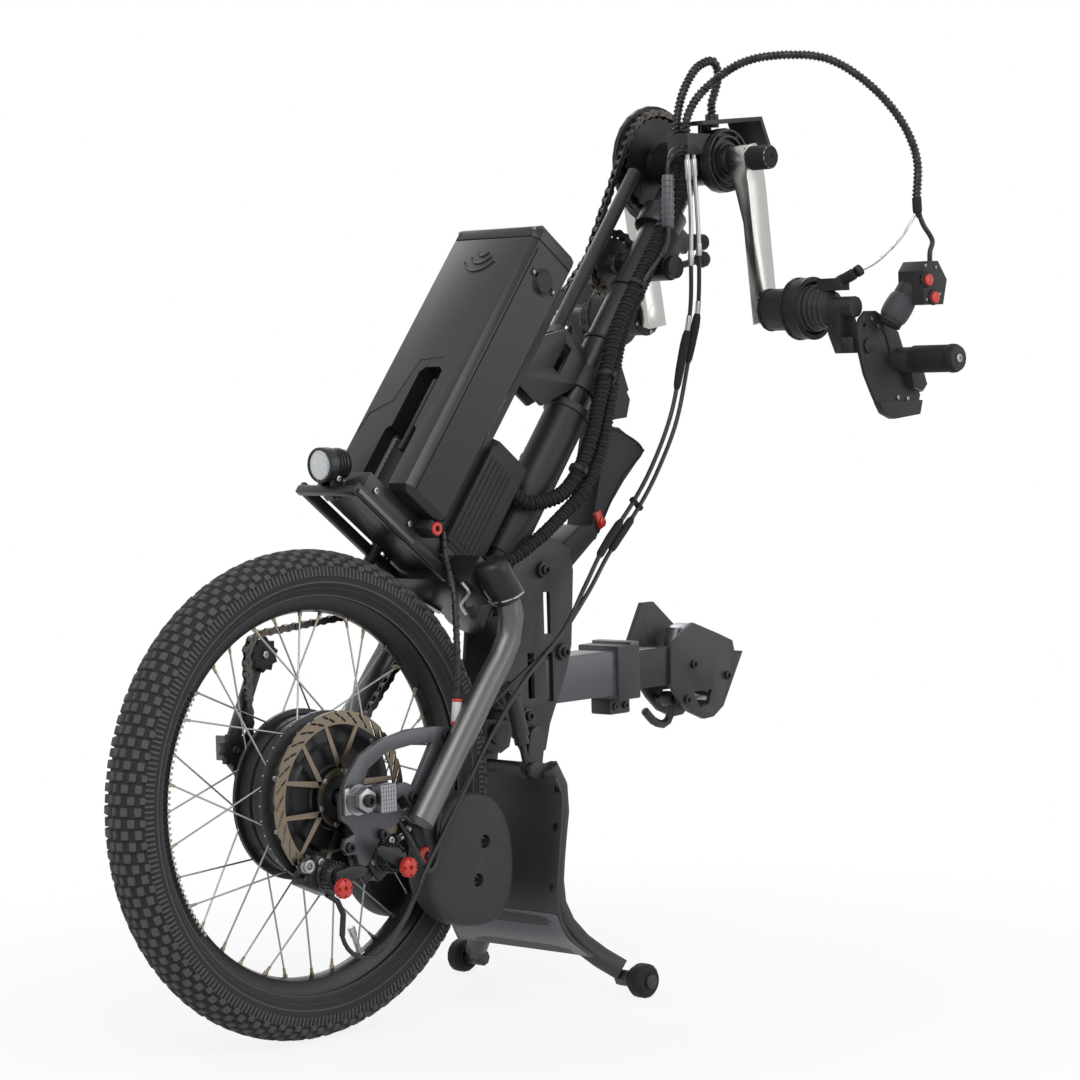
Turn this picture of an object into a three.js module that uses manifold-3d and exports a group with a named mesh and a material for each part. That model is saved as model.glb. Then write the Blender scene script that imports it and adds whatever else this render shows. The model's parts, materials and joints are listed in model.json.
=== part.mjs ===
// Clip-on handcycle front unit: driven front wheel, hand cranks, docking arm and parking stand.
// Units are millimetres. X points to the rear, Y to the right, Z up, floor at zero.
import * as THREE from 'three';
import { mergeGeometries, mergeVertices } from 'three/addons/utils/BufferGeometryUtils.js';
import Module from 'manifold-3d';

const wasm = await Module();
wasm.setup();

// Overall placing
const axleX = -229;
const originShiftX = -27.43;
const fitGap = 0.3;
const columnLeanDegrees = 38;
const columnDatum = [158, 600];

// Front wheel
const tyreRadius = 255;
const tyreSectionRadius = 27.5;
const tyreBeadDepth = 6;
const rimDepth = 16;
const rimHalfWidth = 15;
const rimInnerHalfWidth = 9;
const spokeRadius = 1.1;
const nippleHeight = 2;
const spokeCount = 36;
const hubShellRadius = 66;
const hubShellHalfWidth = 36;
const hubFlangeRadius = 74;
const hubFlangeHalfPitch = 29;
const hubFlangeThickness = 4;
const hubEndRadius = 46;
const hubLeftReach = 52.1;
const hubRightReach = 38;
const hubStepY = 45;
const hubDiscMountRadius = 24;
const hubBoreRadius = 11;
const rotorRadius = 90;
const rotorBandWidth = 15;
const rotorThickness = 2;
const rotorCentreRadius = 26;
const rotorArmWidth = 7;
const rotorArmCount = 7;
const rotorY = -53.4;
const rotorArmTwistShare = 0.35;
const rotorRimShares = [0, 0.33, 0.66, 1];
const tyreWall = 4;
const tyreOuterSteps = 8;
const tyreInnerSteps = 3;
const spokeSlantShare = 0.42;
const spokeSides = 3;
const cassetteRadii = [44, 34];
const cassetteY = [38.4, 39.9, 42.9, 47, 55];
const freehubRadius = 22;
const cassetteToothCount = 24;

// Axle
const axleRadius = 7;
const axleHalfLength = 96;
const axleShoulderRadius = 10.7;
const axleShoulderReach = 67.5;
const axleNutRadius = 14;
const axleNutOuter = 92;
const torquePlateSize = [58, 26];
const torquePlateShift = 14;
const torquePlateThickness = 5;

// Fork
const steererRadius = 17;
const steererTopRadius = 15.2;
const steererTop = 95;
const steererStep = 50.3;
const crownNeckRadius = 24;
const crownNeckBottom = -236;
const crownTop = -150.3;
const crownOutline = [[-84, 73.8], [-40, 73.8], [-32, 30], [-14, 20], [0, 22]];
const crownLevels = [-236, -204];
const steererBore = 12;
const steererBoreFoot = -140;
const bladeSection = [13, 15.5];
const bladePath = [[-62, -216], [-38, -222], [-13, -243], [-5, -275], [-6, -310], [-6, -485]];

// Dropout plates
const plateInnerY = 67.8;
const plateThickness = 6;
const plateOutline = [
  [-24, -4], [-22, 18], [-8, 38], [18, 54], [60, 66], [104, 70], [142, 70], [152, 58], [150, 46],
  [132, 30], [116, 4], [110, -20], [108, -42], [92, -54], [78, -50], [70, -54], [60, -62], [50, -60],
  [34, -60], [14, -62], [8, -84], [-14, -86], [-20, -76], [-12, -50], [-18, -26],
];
const plateWindow = [[30, 14], [44, 28], [80, 38], [112, 42], [96, 16], [64, 6]];
const plainPlateOutline = [
  [-24, -4], [-32, 20], [-48, 38], [-48, 58], [-28, 62], [-6, 52],
  [18, 58], [60, 66], [104, 70], [142, 70], [152, 58], [150, 46],
  [132, 30], [116, 4], [110, -20], [108, -42], [92, -54], [56, -44], [14, -30], [-16, -24],
];
const plateAxleHoleRadius = 7.3;

// Brake calipers
const caliperMiddles = [[-6, -91], [72, -62]];
const caliperBlock = [44, 34];
const caliperBlockY = [-67.5, -37.5];
const caliperSlotY = [-57.2, -51.8];
const caliperSlotDepth = 20;
const caliperDrumRadius = 15;
const caliperDrumShift = 12;
const caliperDrumOuterY = -92;
const caliperKnobRadius = 9;
const caliperKnobOuterY = -99;

// Ballast weights
const ballastOutline = [
  [109, 170], [116, 202], [136, 230], [160, 240], [190, 239],
  [218, 227], [234, 204], [241, 174], [240, 140],
  [230, 112], [210, 97], [180, 96], [148, 104], [122, 126], [111, 148],
];
const ballastY = [33, 67.5];
const ballastTongueY = [52, 67.5];
const ballastTongueOutline = [[104, 212], [108, 196], [116, 184], [130, 180], [136, 228], [112, 222]];
const ballastBoltSpots = [[196, 186], [184, 146]];
const ballastBoltRadius = 7;
const ballastBoltDepth = 5;

// Head tube and column
const headTubeRadius = 25;
const headTubeCupRadius = 27.5;
const headTubeCupHeight = 9;
const headTubeBore = 20.5;
const headTubeSeatBore = 17.3;
const headTubeSeatHeight = 12;
const headTubeEnds = [-150, 50];
const columnRadius = 19;
const columnBore = 15.5;
const columnBottom = 50.6;
const columnTop = 376;
const clampCollarRadius = 27;
const clampCollarEnds = [303, 329];
const clampEarSize = [10, 12, 20];
const clampCollarBore = 19.3;
const clampLeverPivot = [36, 316];

// Bottom bracket
const crankAxisLocalZ = 404;
const bracketShellRadius = 27;
const bracketShellBore = 21;
const bracketShellY = [-56, 36];
const bracketDiscRadius = 37;
const bracketDiscThickness = 13;
const bracketSeatBore = 11.3;
const bracketSeatThickness = 8;
const bracketCoverSection = [[-43, 39], [-43, 44], [63, 52], [80, 15], [75, 13], [60, 47]];
const bracketCoverPost = [8, 45, -24];
const bracketPlugRadius = 15.2;
const bracketPlugFoot = 336;
const bracketCoverY = [-58, -8];

// Cranks
const crankLength = 175;
const crankLagDegrees = 8;
const crankArmWidth = 31;
const crankArmFront = [[-70, 15], [-89, 16], [-95, 8], [-97, -30], [-96, -70]];
const crankArmBack = [[-83, -72], [-77, -35], [-71, -15], [-70, -15]];
const crankArmFootY = [-93, -80];
const crankArmFootDrops = [11, 15];
const crankEyeRadius = 16;
const crankPinEyeRadius = 13;
const crankPinRadius = 8;
const crankPinReach = 111;
const spindleRadius = 11;
const spindleHalfLength = 69.7;
const bumperRadius = 13;
const bumperReach = 122;
const bumperHoleRadius = 3;
const bumperHoleDepth = 8;

// Chainring and middle sprocket
const chainringRadius = 58;
const chainringGuardRadius = 70;
const chainringGuardY = [54.4, 58.4];
const chainringY = [47, 50];
const chainringBossY = [36.4, 54.4];
const chainringBossRadius = 22;
const chainringWindowCount = 5;
const chainringWindowRadius = 9;
const chainringWindowPitch = 38;
const middleAxisZ = 258;
const middleRadius = 33;
const middleY = [47, 50];
const middleInnerY = [39.9, 42.9];
const middleHubRadius = 13;
const middleHubY = [30.3, 54];
const middleBore = 6.3;
const middleStubRadius = 6;
const middleBossRadius = 12;
const middleBossReach = 30;
const middleNutRadius = 9;
const middleNutY = [54.3, 59];
const sprocketToothDepth = 4;
const sprocketToothCount = 18;
const chainringToothCount = 30;

// Jockey wheels and derailleur
const jockeyRadius = 19;
const jockeyWidth = 7;
const jockeyBore = 4.3;
const jockeyToothCount = 10;
const jockeyMiddles = [[-14, 145], [-58, 50]];
const jockeyY = 41.4;
const cageInnerFaceY = 46;
const cagePlateThickness = 3;
const cageHalfWidth = 9;
const cagePinRadius = 4;
const derailleurBodyOutline = [[-60, 38], [-30, 38], [-26, 60], [-60, 64]];
const derailleurBodyY = [48, 67.5];

// Chains
const chainHalfWidth = 3;
const chainToothGap = 0.8;
const chainThickness = 5;
const slipperMiddle = [104, 191];
const slipperRadius = 12;
const slipperY = [29, 45];

// Battery, tray, controller, headlight
const batterySpan = [-197, -136, -203, 146];
const batteryHalfWidth = 56;
const batteryEdge = 9;
const batteryRecess = [30, 12, 170];
const batteryRecessMiddle = [-14, -112];
const portRadius = 12;
const portHeight = 2.5;
const portSpot = [-164, 116];
const railSpan = [-135.7, -104, -214, 132];
const railHalfWidth = 30;
const trayFloorSpan = [-236, -84.3, -224, -203.3];
const trayHalfWidth = 36;
const trayStayTop = [-126, -212];
const trayStayY = 36;
const trayStayRadius = 7;
const controllerSpan = [-103.7, -44, -203, -64];
const controllerHalfWidth = 35;
const controllerEdge = 6;
const headlightRadius = 16;
const headlightLensRadius = 18;
const headlightLength = 29;
const headlightLensLength = 12;
const headlightFront = [-190, 594];
const headlightPivot = [-176, 566];
const headlightCheek = [[-184, 586], [-184, 566], [-176, 557], [-169, 566], [-169, 586]];
const headlightCheekY = [6.3, 10.3];
const headlightPinRadius = 3;
const headlightLug = [
  [-250, -236], [-238, -242], [-228, -226], [-228, -214], [-236, -214], [-246, -226],
];
const headlightLugHalfWidth = 6;
const headlightLugBore = 3.3;

// Frame plates, spacers, docking arm
const framePlateInnerY = 25.3;
const framePlateThickness = 5;
const framePlateOutline = [
  [66, 488], [86, 502], [124, 500], [152, 486], [156, 462],
  [150, 380], [141, 352], [112, 296], [104, 268],
  [90, 262], [70, 266], [60, 282], [44, 318], [30, 330], [24, 340], [28, 354], [39, 372], [46, 430],
];
const frameSlots = [[112, 395, 10, 46], [84, 326, 10, 50], [114, 320, 10, 54]];
const frameBoltSpots = [[134, 373.3], [74, 308], [106, 466], [62, 424]];
const frameBoltRadius = 9;
const frameBoltHead = 4;
const frameSpacerRadius = 7;
const dockTubeHalf = 25;
const dockTubeWall = 3;
const dockAxisZ = 341;
const dockTubeSpan = [100, 248];
const collarSpan = [226, 262];
const collarHalf = 30;
const collarBlockHeight = 16;
const collarBlockHalfWidth = 14;
const collarBlockInset = 4;
const collarLip = [-14, 4];
const innerTubeHalf = 21.7;
const innerTubeSpan = [126, 332];
const innerTubeWall = 3;
const dockPlateThickness = 5;
const dockPlateNear = [
  [318, 319], [320, 363], [341, 378], [360, 388], [404, 372],
  [429, 362], [432, 350], [447, 348], [410, 287],
  [392, 276], [375, 275], [351, 285], [333, 301],
];
const dockPlateFar = [
  [318, 319], [300, 366], [326, 412], [346, 412], [380, 384],
  [429, 362], [432, 350], [447, 348], [410, 287],
  [392, 276], [375, 275], [351, 285], [333, 301],
];
const dockPlateWindow = [[358, 308], [390, 308], [384, 292], [368, 288]];
const dockCrossSpots = [[417, 322], [402, 290]];
const dockCrossRadius = 7;
const latchPivot = [358, 340];
const latchOutline = [[-10, -7], [-10, 26], [-4, 42], [14, 46], [22, 38], [14, 20], [10, 6], [10, -7]];
const latchHalfWidth = 9;
const latchPinRadius = 6;
const releasePivot = [345, 300];
const releasePath = [[345, 300], [347, 284], [337, 272], [318, 276], [302, 290]];
const releaseRadius = 5;
const releaseEyeRadius = 9;
const releaseHalfWidth = 8;
const releasePinRadius = 4;

// Rear cover
const rearCoverOutline = [
  [229, 620], [251, 617], [294, 590], [256, 556], [226, 524], [206, 492], [196, 496], [204, 520],
];
const rearCoverHalfWidth = 20;
const rearCoverLug = [[200, 510], [176, 510], [140, 488], [138, 466], [156, 462], [200, 494]];
const rearCoverLugHalfWidth = 25;

// Stand
const standPivot = [83, 284];
const standPinRadius = 8;
const standPinInner = -22;
const standWasherRadius = 11;
const standEyeRadius = 12;
const standEyeThickness = 7.7;
const standCrossSpot = [76, 248];
const standCrossRadius = 9;
const standTubeRadius = 12.5;
const standPath = [
  [60, 74, 254], [62, 88, 226], [54, 91, 175], [47, 92, 125],
  [51, 94, 92], [70, 100, 64], [98, 118, 38], [112, 128, 28],
];
const standSteps = 10;
const standPlateBack = [[66, 236], [75.6, 212], [78.9, 175], [79.7, 125], [81.1, 98], [84.6, 70]];
const standPlateThickness = 3;
const standPlateHalfWidth = 62;
const standApronFoot = [96, 52];
const standApronHalfWidth = 50;
const casterRadius = 18.8;
const casterWidth = 20;
const casterX = 133;
const casterInnerY = 128.6;
const casterPinRadius = 5;
const casterHeadRadius = 8;
const casterHeadThickness = 3;
const casterBossRadius = 9;
const casterBossRoot = 104;
const casterEdge = 4;

// Gas strut
const strutTop = [34, 343];
const strutFoot = [56, 252];
const strutY = -47;
const strutCylinderRadius = 8;
const strutCylinderSpan = [6, 64];
const strutRodRadius = 4;
const strutRodBore = 4.4;
const strutRodStart = 18;
const strutEyeRadius = 8;
const strutEyeHalf = 4;
const strutPinRadius = 4;
const strutFootBore = 5.1;
const strutSlotHalf = 2.4;
const strutLugHalf = 9;
const strutLugY = [-60, -56];

// Grips and handles
const gripProfile = [
  [8.3, -94.3], [24, -94.3], [24, -134], [35, -136], [35, -161],
  [31, -161], [28, -153], [24, -172], [19, -188],
  [12, -190], [12, -219.7], [0, -219.7], [0, -135], [8.3, -135],
];
const perchSize = [16, 34, 14];
const perchMiddle = [0, -188, 26];
const perchBarrel = [[0, -196, 28], [2, -219, 38]];
const perchBarrelRadius = 5.5;
const handleLugOutline = [[-12, 0], [-12, -30], [0, -52], [24, -52], [24, -34], [12, 0]];
const handleLugY = [-206, -188.5];
const hoopMiddle = [12, -209];
const hoopRadii = [22, 18.5];
const hoopZ = [-52, -34];
const handlePinY = -229;
const handlePinRadius = 4;
const handlePinHead = 8;
const handleSlot = [
  [34, -18], [46, -33], [52.5, -48.2], [53, -66], [49, -67], [48.5, -48.6], [42.6, -34.5], [31, -21],
];
const handleHole = [7, -21];
const handleHoleRadius = 2.5;
const switchMiddle = [60.5, -260, 17.8];
const switchOutline = [[50, 0], [50, 38], [60, 49], [77, 49], [93, 28], [85, 0]];
const buttonShift = 5.5;
const handleStickEnd = [66, -256, 37];
const handleKnobRadius = 16;
const handlePivot = [12, -44];
const handlePlateY = [-222, -226];
const handleLipY = -231;
const handleLipOutline = [[25, -108.5], [105, -108], [100, -124], [52, -128], [34, -121]];
const handleGuardY = -238;
const handleGuardOutline = [[70, -51], [91, -55], [105, -90], [98, -96], [80, -92]];
const handlePlateOutline = [
  [-2, -52], [-6, -28], [-1, -14], [10, -5], [28, -5], [52, -17], [69, -30], [80, -54],
  [107, -102], [100, -124], [52, -128], [34, -121], [20, -100], [6, -76],
];
const handleStickFoot = [36, -238, -20];
const handleStickTop = [60, -251, 20];
const handleStickRadius = 14;
const handleStickNeck = 11;
const switchBoxDepth = 36;
const handleBarSpot = [69, -61];
const handleBarRadius = 14;
const handleBarReach = -310;
const buttonRadius = 6.5;
const buttonProud = 5;
const buttonSeatDepth = 6;
const buttonTravel = 2.5;
const buttonSpread = 9.8;

// Levers on the column
const clampLeverRadius = 9.5;
const clampLeverReach = 46;
const clampLeverPin = 4;
const clampLeverHalf = 4;
const clampLeverPinReach = 9;
const clampLeverNeck = 18;
const clampLeverEye = 8;
const shiftPivot = [16, 262];
const shiftBossRadius = 15;
const shiftBossY = -32;
const shiftEyeRadius = 13;
const shiftEyeThickness = 8;
const shiftPinRadius = 4;
const shiftPinDepth = 9;
const shiftReach = 50;
const shiftRise = 9;
const shiftBallRadius = 10;
const shiftArmRadius = 4;

// Column bracket
const bracketPlateOutline = [
  [-103.6, 70], [-66, 112], [-30, 112], [-15, 100], [-15, 72], [-48, 20], [-103.6, 20],
];
const bracketPlateY = [8, 13];
const bracketBandRadius = 23;
const bracketBandEnds = [72, 100];
const bracketSlot = [-52, 82, 12, 34];
const stayTubeLocalX = -50;
const stayTubeTop = 352;
const stayTubeRadius = 8;
const stayTubeY = 22;
const stayBridgeZ = [100, 126];
const stayTubeBoreDepth = 30;
const stayTubeBore = 4;

// Cables: points as [x, z, y] on the column, or [x, y, z] from the crank axis
const harnessPath = [
  [-36.7, 382.6, -33], [-26.8, 370, -33], [-18, 335, -33],
  [-20, 290, -33], [-20, 230, -33], [-18, 150, -34],
  [-2, 70, -40], [14, 14, -41], [14, -36, -44], [2, -68, -44],
  [-18, -90, -30], [-33, -92, -26], [-43.5, -92, -26],
];
const harnessRadius = 8;
const harnessRibRadius = 9.2;
const harnessRibPitch = 12;
const harnessBore = 6;
const harnessSides = 8;
const harnessBoreSteps = 5;
const harnessRibShares = [0.3, 0.7];
const rearBrakePath = [
  [-40.6, 379.6, -47], [-33.2, 370.1, -47], [0, 328, -50],
  [31.4, 289, -50], [74, 246, -40], [98, 205, -32],
  [126, 125, -32], [129, 54, -36], [123, 4, -40], [109, -66, -44], [97, -130, -50], [80, -200, -58],
  [36, -290, -70], [18, -350, -64], [7, -420, -61.5], [4, -470, -61.5], [3.7, -492.8, -61.5],
];
const frontBrakePath = [
  [-49.2, 372.8, -47], [-41.8, 363.3, -47], [-10, 322, -50],
  [20.4, 280.4, -50], [62, 236, -42], [87, 195, -34],
  [114, 125, -32], [118, 54, -36], [112, 4, -40], [98, -66, -44], [88, -126, -52], [78, -186, -64],
  [46, -280, -76], [38, -350, -77], [36, -420, -78],
  [36, -515, -78], [42, -580, -74], [33.1, -623.9, -68],
  [8, -636, -64], [-14, -628, -62], [-25.4, -608.8, -61.5],
];
const brakeCableRadius = 2.6;
const brakeCableSteps = [30, 36];
const cableClipEnds = [[124, 4, -40], [111, 4, -40]];
const cableClipRadius = 5;
const guideSpan = [-63, -18];
const guideY = [-52, -22];
const guideZ = [6, 30];
const archRadius = 5;
const archSteps = 24;
const archRise = [
  [-53, -42, 30.3], [-53, -42, 42], [-47, -47, 62], [-31, -60, 85], [-21, -105, 108], [4, -150, 113],
];
const archFall = [
  [7.6, -185, 279.3], [34.6, -220, 249.3], [64, -243, 205], [75.6, -253, 164.3],
  [66.6, -258, 118.3],
];
const loopPath = [
  [-53, -28, 30.3], [-53, -28, 44], [-43, -30, 78], [-20, -34, 108], [2, -38, 114],
  [10, -38, 98], [6, -35, 78], [4, -32, 66], [4, -32, 54.4],
];
const loopSteps = 14;
const loopGlandRadius = 8;
const loopGlandTop = 54;
const switchLeadPath = [
  [66.5, -258.1, 117.5], [65.6, -259.4, 107], [70, -264, 90], [82, -267, 72], [76, -268, 60],
  [75, -268, 50.4],
];
const perchLeadPath = [
  [66.5, -258.1, 117.5], [65.6, -259.4, 107], [57, -255, 92], [42, -251, 74], [18, -237, 50],
  [9, -228, 43], [2.2, -220.2, 38.9],
];
const leadRadius = 2.2;
const leadSteps = 7;

// Segment counts
const coarseSides = 12;
const mediumSides = 16;
const fineSides = 18;
const wheelSegments = 40;
const guardSegments = 24;
const capsuleSteps = 5;
const tubeSides = 8;
const nutSides = 6;
const bladeSteps = 12;
const chainArcSteps = 28;

const lean = THREE.MathUtils.degToRad(columnLeanDegrees);
const lag = THREE.MathUtils.degToRad(crankLagDegrees);

const rimOuterRadius = tyreRadius - 2 * tyreSectionRadius + tyreBeadDepth;
const rimInnerRadius = rimOuterRadius - rimDepth;
const tyreFlatHalfAngle = Math.PI / wheelSegments;
const axleHeight = tyreRadius * Math.cos(tyreFlatHalfAngle);
const plateOuterY = plateInnerY + plateThickness;
const bladeY = plateOuterY + fitGap + bladeSection[0] * Math.cos(Math.PI / tubeSides);
const crankAxis = columnPoint([0, crankAxisLocalZ]);
const gripPin = [
  crankAxis[0] + crankLength * Math.sin(lag),
  crankAxis[1] - crankLength * Math.cos(lag),
];

const black = ['#1b1c1e', 0.5, 0.2];
const blackSteel = ['#202124', 0.42, 0.5];
const rubber = ['#161617', 0.88, 0];
const plastic = ['#242528', 0.6, 0];
const greyMetal = ['#6b6d70', 0.38, 0.85];
const silver = ['#c3c4c4', 0.3, 0.95];
const redPlastic = ['#c2382c', 0.5, 0];
const ballastPaint = ['#3b3c40', 0.6, 0.3];

// A point given on the leaning column, as world X and Z
function columnPoint([x, z]) {
  return [
    columnDatum[0] + x * Math.cos(lean) + z * Math.sin(lean),
    columnDatum[1] - x * Math.sin(lean) + z * Math.cos(lean),
  ];
}

// A world point in X and Z, as a point on the leaning column
function localPoint([x, z]) {
  const dx = x - columnDatum[0];
  const dz = z - columnDatum[1];
  return [dx * Math.cos(lean) - dz * Math.sin(lean), dx * Math.sin(lean) + dz * Math.cos(lean)];
}

function solid(geometry) {
  const bare = geometry.clone();
  bare.deleteAttribute('normal');
  bare.deleteAttribute('uv');
  const merged = mergeVertices(bare);
  const position = merged.attributes.position;
  const corners = Array.from(merged.index.array);
  const index = [];
  for (let i = 0; i < corners.length; i += 3) {
    const [p, q, r] = corners.slice(i, i + 3);
    if (p !== q && q !== r && r !== p) {
      index.push(p, q, r);
    }
  }
  const a = new THREE.Vector3();
  const b = new THREE.Vector3();
  const c = new THREE.Vector3();
  let volume = 0;
  for (let i = 0; i < index.length; i += 3) {
    a.fromBufferAttribute(position, index[i]);
    b.fromBufferAttribute(position, index[i + 1]);
    c.fromBufferAttribute(position, index[i + 2]);
    volume += a.dot(b.cross(c));
  }
  if (volume < 0) {
    index.reverse();
  }
  return new wasm.Manifold(new wasm.Mesh({
    numProp: 3,
    vertProperties: new Float32Array(position.array),
    triVerts: new Uint32Array(index),
  }));
}

function geometryOf(body) {
  const mesh = body.getMesh();
  const geometry = new THREE.BufferGeometry();
  geometry.setAttribute(
    'position',
    new THREE.BufferAttribute(new Float32Array(mesh.vertProperties), mesh.numProp),
  );
  geometry.setIndex(Array.from(mesh.triVerts));
  return geometry;
}

function join(...bodies) {
  return bodies.flat().reduce((sum, body) => sum.add(body));
}

function cut(body, ...tools) {
  return tools.flat().reduce((rest, tool) => rest.subtract(tool), body);
}

// A solid of revolution round the Y axis from [radius, y] pairs
function turned(profile, segments, turn = 0) {
  const points = profile.map(([radius, y]) => new THREE.Vector2(radius, y));
  const open = profile[0][0] > 0 || profile[profile.length - 1][0] > 0;
  if (open) {
    points.push(points[0].clone());
  }
  const geometry = new THREE.LatheGeometry(points, segments);
  geometry.rotateY(turn);
  return solid(geometry);
}

function upright(body) {
  return body.rotate([90, 0, 0]);
}

// A flat plate in the X-Z plane between two Y levels
function slab(outline, levels, holes = []) {
  const corners = outline.map(([x, z]) => new THREE.Vector2(x, z));
  const shape = new THREE.Shape(THREE.ShapeUtils.isClockWise(corners) ? corners.reverse() : corners);
  for (const hole of holes) {
    shape.holes.push(new THREE.Path(hole.map(([x, z]) => new THREE.Vector2(x, z))));
  }
  const low = Math.min(...levels);
  const high = Math.max(...levels);
  const geometry = new THREE.ExtrudeGeometry(shape, { depth: high - low, bevelEnabled: false });
  geometry.rotateX(Math.PI / 2);
  geometry.translate(0, high, 0);
  return solid(geometry);
}

function circle([x, z], radius, count) {
  return Array.from({ length: count }, (_, i) => {
    const angle = (2 * Math.PI * (i + 0.5)) / count;
    return [x + radius * Math.cos(angle), z + radius * Math.sin(angle)];
  });
}

function disc(middle, radius, levels, count = coarseSides) {
  return slab(circle(middle, radius, count), levels);
}

function block([x0, x1], [y0, y1], [z0, z1]) {
  const geometry = new THREE.BoxGeometry(x1 - x0, y1 - y0, z1 - z0);
  geometry.translate((x0 + x1) / 2, (y0 + y1) / 2, (z0 + z1) / 2);
  return solid(geometry);
}

function rod(from, to, radius, count = coarseSides) {
  const start = new THREE.Vector3(...from);
  const end = new THREE.Vector3(...to);
  const way = end.clone().sub(start);
  const geometry = new THREE.CylinderGeometry(radius, radius, way.length(), count);
  geometry.applyQuaternion(new THREE.Quaternion().setFromUnitVectors(
    new THREE.Vector3(0, 1, 0),
    way.clone().normalize(),
  ));
  const middle = start.add(end).multiplyScalar(0.5);
  geometry.translate(middle.x, middle.y, middle.z);
  return solid(geometry);
}

function ball(middle, radius) {
  const geometry = new THREE.SphereGeometry(radius, coarseSides, coarseSides / 2);
  geometry.translate(...middle);
  return solid(geometry);
}

function curve(points) {
  return new THREE.CatmullRomCurve3(points.map((p) => new THREE.Vector3(...p)), false, 'centripetal');
}

// A round or oval bar along a path
function bar(points, radii, count, steps) {
  const [wide, deep] = Array.isArray(radii) ? radii : [radii, radii];
  const ring = Array.from({ length: count }, (_, i) => {
    const angle = (2 * Math.PI * (i + 0.5)) / count;
    return new THREE.Vector2(wide * Math.cos(angle), deep * Math.sin(angle));
  });
  const geometry = new THREE.ExtrudeGeometry(new THREE.Shape(ring), {
    steps,
    bevelEnabled: false,
    extrudePath: curve(points),
  });
  return solid(geometry);
}

function mirrored(body) {
  return body.mirror([0, 1, 0]);
}

function gearOutline(middle, tip, depth, count) {
  const toothShares = [[0.25, 1], [0.75, 0]];
  const outline = [];
  for (let i = 0; i < count; i += 1) {
    for (const [share, high] of toothShares) {
      const angle = (2 * Math.PI * (i + share)) / count;
      const radius = high ? tip : tip - depth;
      outline.push([middle[0] + radius * Math.cos(angle), middle[1] + radius * Math.sin(angle)]);
    }
  }
  return outline;
}

function gear(tip, count, levels) {
  return slab(gearOutline([0, 0], tip, sprocketToothDepth, count), levels);
}

// The centre line of a chain round wheels [x, z, radius, sense]
function chainLine(wheels, arcSteps) {
  const line = [];
  const legs = wheels.map((wheel, i) => {
    const next = wheels[(i + 1) % wheels.length];
    const dx = next[0] - wheel[0];
    const dz = next[1] - wheel[1];
    const offset = next[3] * next[2] - wheel[3] * wheel[2];
    const heading = Math.atan2(dz, dx) - Math.asin(offset / Math.hypot(dx, dz));
    const left = [-Math.sin(heading), Math.cos(heading)];
    return {
      leave: [wheel[0] - wheel[3] * wheel[2] * left[0], wheel[1] - wheel[3] * wheel[2] * left[1]],
      reach: [next[0] - next[3] * next[2] * left[0], next[1] - next[3] * next[2] * left[1]],
    };
  });
  wheels.forEach((wheel, i) => {
    const arrive = legs[(i + wheels.length - 1) % wheels.length].reach;
    const depart = legs[i].leave;
    const start = Math.atan2(arrive[1] - wheel[1], arrive[0] - wheel[0]);
    let sweep = Math.atan2(depart[1] - wheel[1], depart[0] - wheel[0]) - start;
    const turn = 2 * Math.PI;
    sweep = wheel[3] > 0 ? ((sweep % turn) + turn) % turn : -((((-sweep) % turn) + turn) % turn);
    const steps = Math.max(2, Math.round((Math.abs(sweep) / turn) * arcSteps));
    for (let k = 0; k <= steps; k += 1) {
      const angle = start + (sweep * k) / steps;
      line.push([wheel[0] + wheel[2] * Math.cos(angle), wheel[1] + wheel[2] * Math.sin(angle)]);
    }
  });
  return line;
}

function chainBand(wheels, arcSteps, levels) {
  const half = chainThickness / 2;
  const side = (shift) => chainLine(
    wheels.map(([x, z, radius, sense]) => [x, z, radius + sense * shift, sense]),
    arcSteps,
  );
  return slab(side(half), levels, [side(-half)]);
}

const part = new THREE.Group();
part.name = 'handcycle';

const column = new THREE.Group();
column.name = 'column_place';
column.position.set(columnDatum[0], 0, columnDatum[1]);
column.rotation.y = lean;
part.add(column);

const wheel = new THREE.Group();
wheel.name = 'wheel_place';
wheel.position.set(axleX, 0, axleHeight);
part.add(wheel);

const crankPlace = new THREE.Group();
crankPlace.name = 'crank_place';
crankPlace.position.set(crankAxis[0], 0, crankAxis[1]);
part.add(crankPlace);

const gripPlace = new THREE.Group();
gripPlace.name = 'grip_place';
gripPlace.position.set(gripPin[0], 0, gripPin[1]);
part.add(gripPlace);

function add(place, name, body, [color, roughness, metalness]) {
  const material = new THREE.MeshStandardMaterial({ color, roughness, metalness });
  const mesh = new THREE.Mesh(geometryOf(body), material);
  mesh.name = name;
  place.add(mesh);
  return mesh;
}

// Tyre: an open section whose beads sit on the rim
function tyreProfile() {
  const middle = tyreRadius - tyreSectionRadius;
  const seat = rimOuterRadius + fitGap;
  const wall = tyreWall;
  const arc = (radius, count) => {
    const reach = Math.acos((seat - middle) / radius);
    return Array.from({ length: count + 1 }, (_, i) => {
      const angle = -reach + (2 * reach * i) / count;
      return [middle + radius * Math.cos(angle), radius * Math.sin(angle)];
    });
  };
  return [
    ...arc(tyreSectionRadius, tyreOuterSteps),
    ...arc(tyreSectionRadius - wall, tyreInnerSteps).reverse(),
  ];
}

add(wheel, 'tyre', turned(tyreProfile(), wheelSegments, tyreFlatHalfAngle), rubber);

const rimProfile = [
  [rimInnerRadius, -rimInnerHalfWidth],
  [rimOuterRadius, -rimHalfWidth],
  [rimOuterRadius, rimHalfWidth],
  [rimInnerRadius, rimInnerHalfWidth],
];

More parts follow.
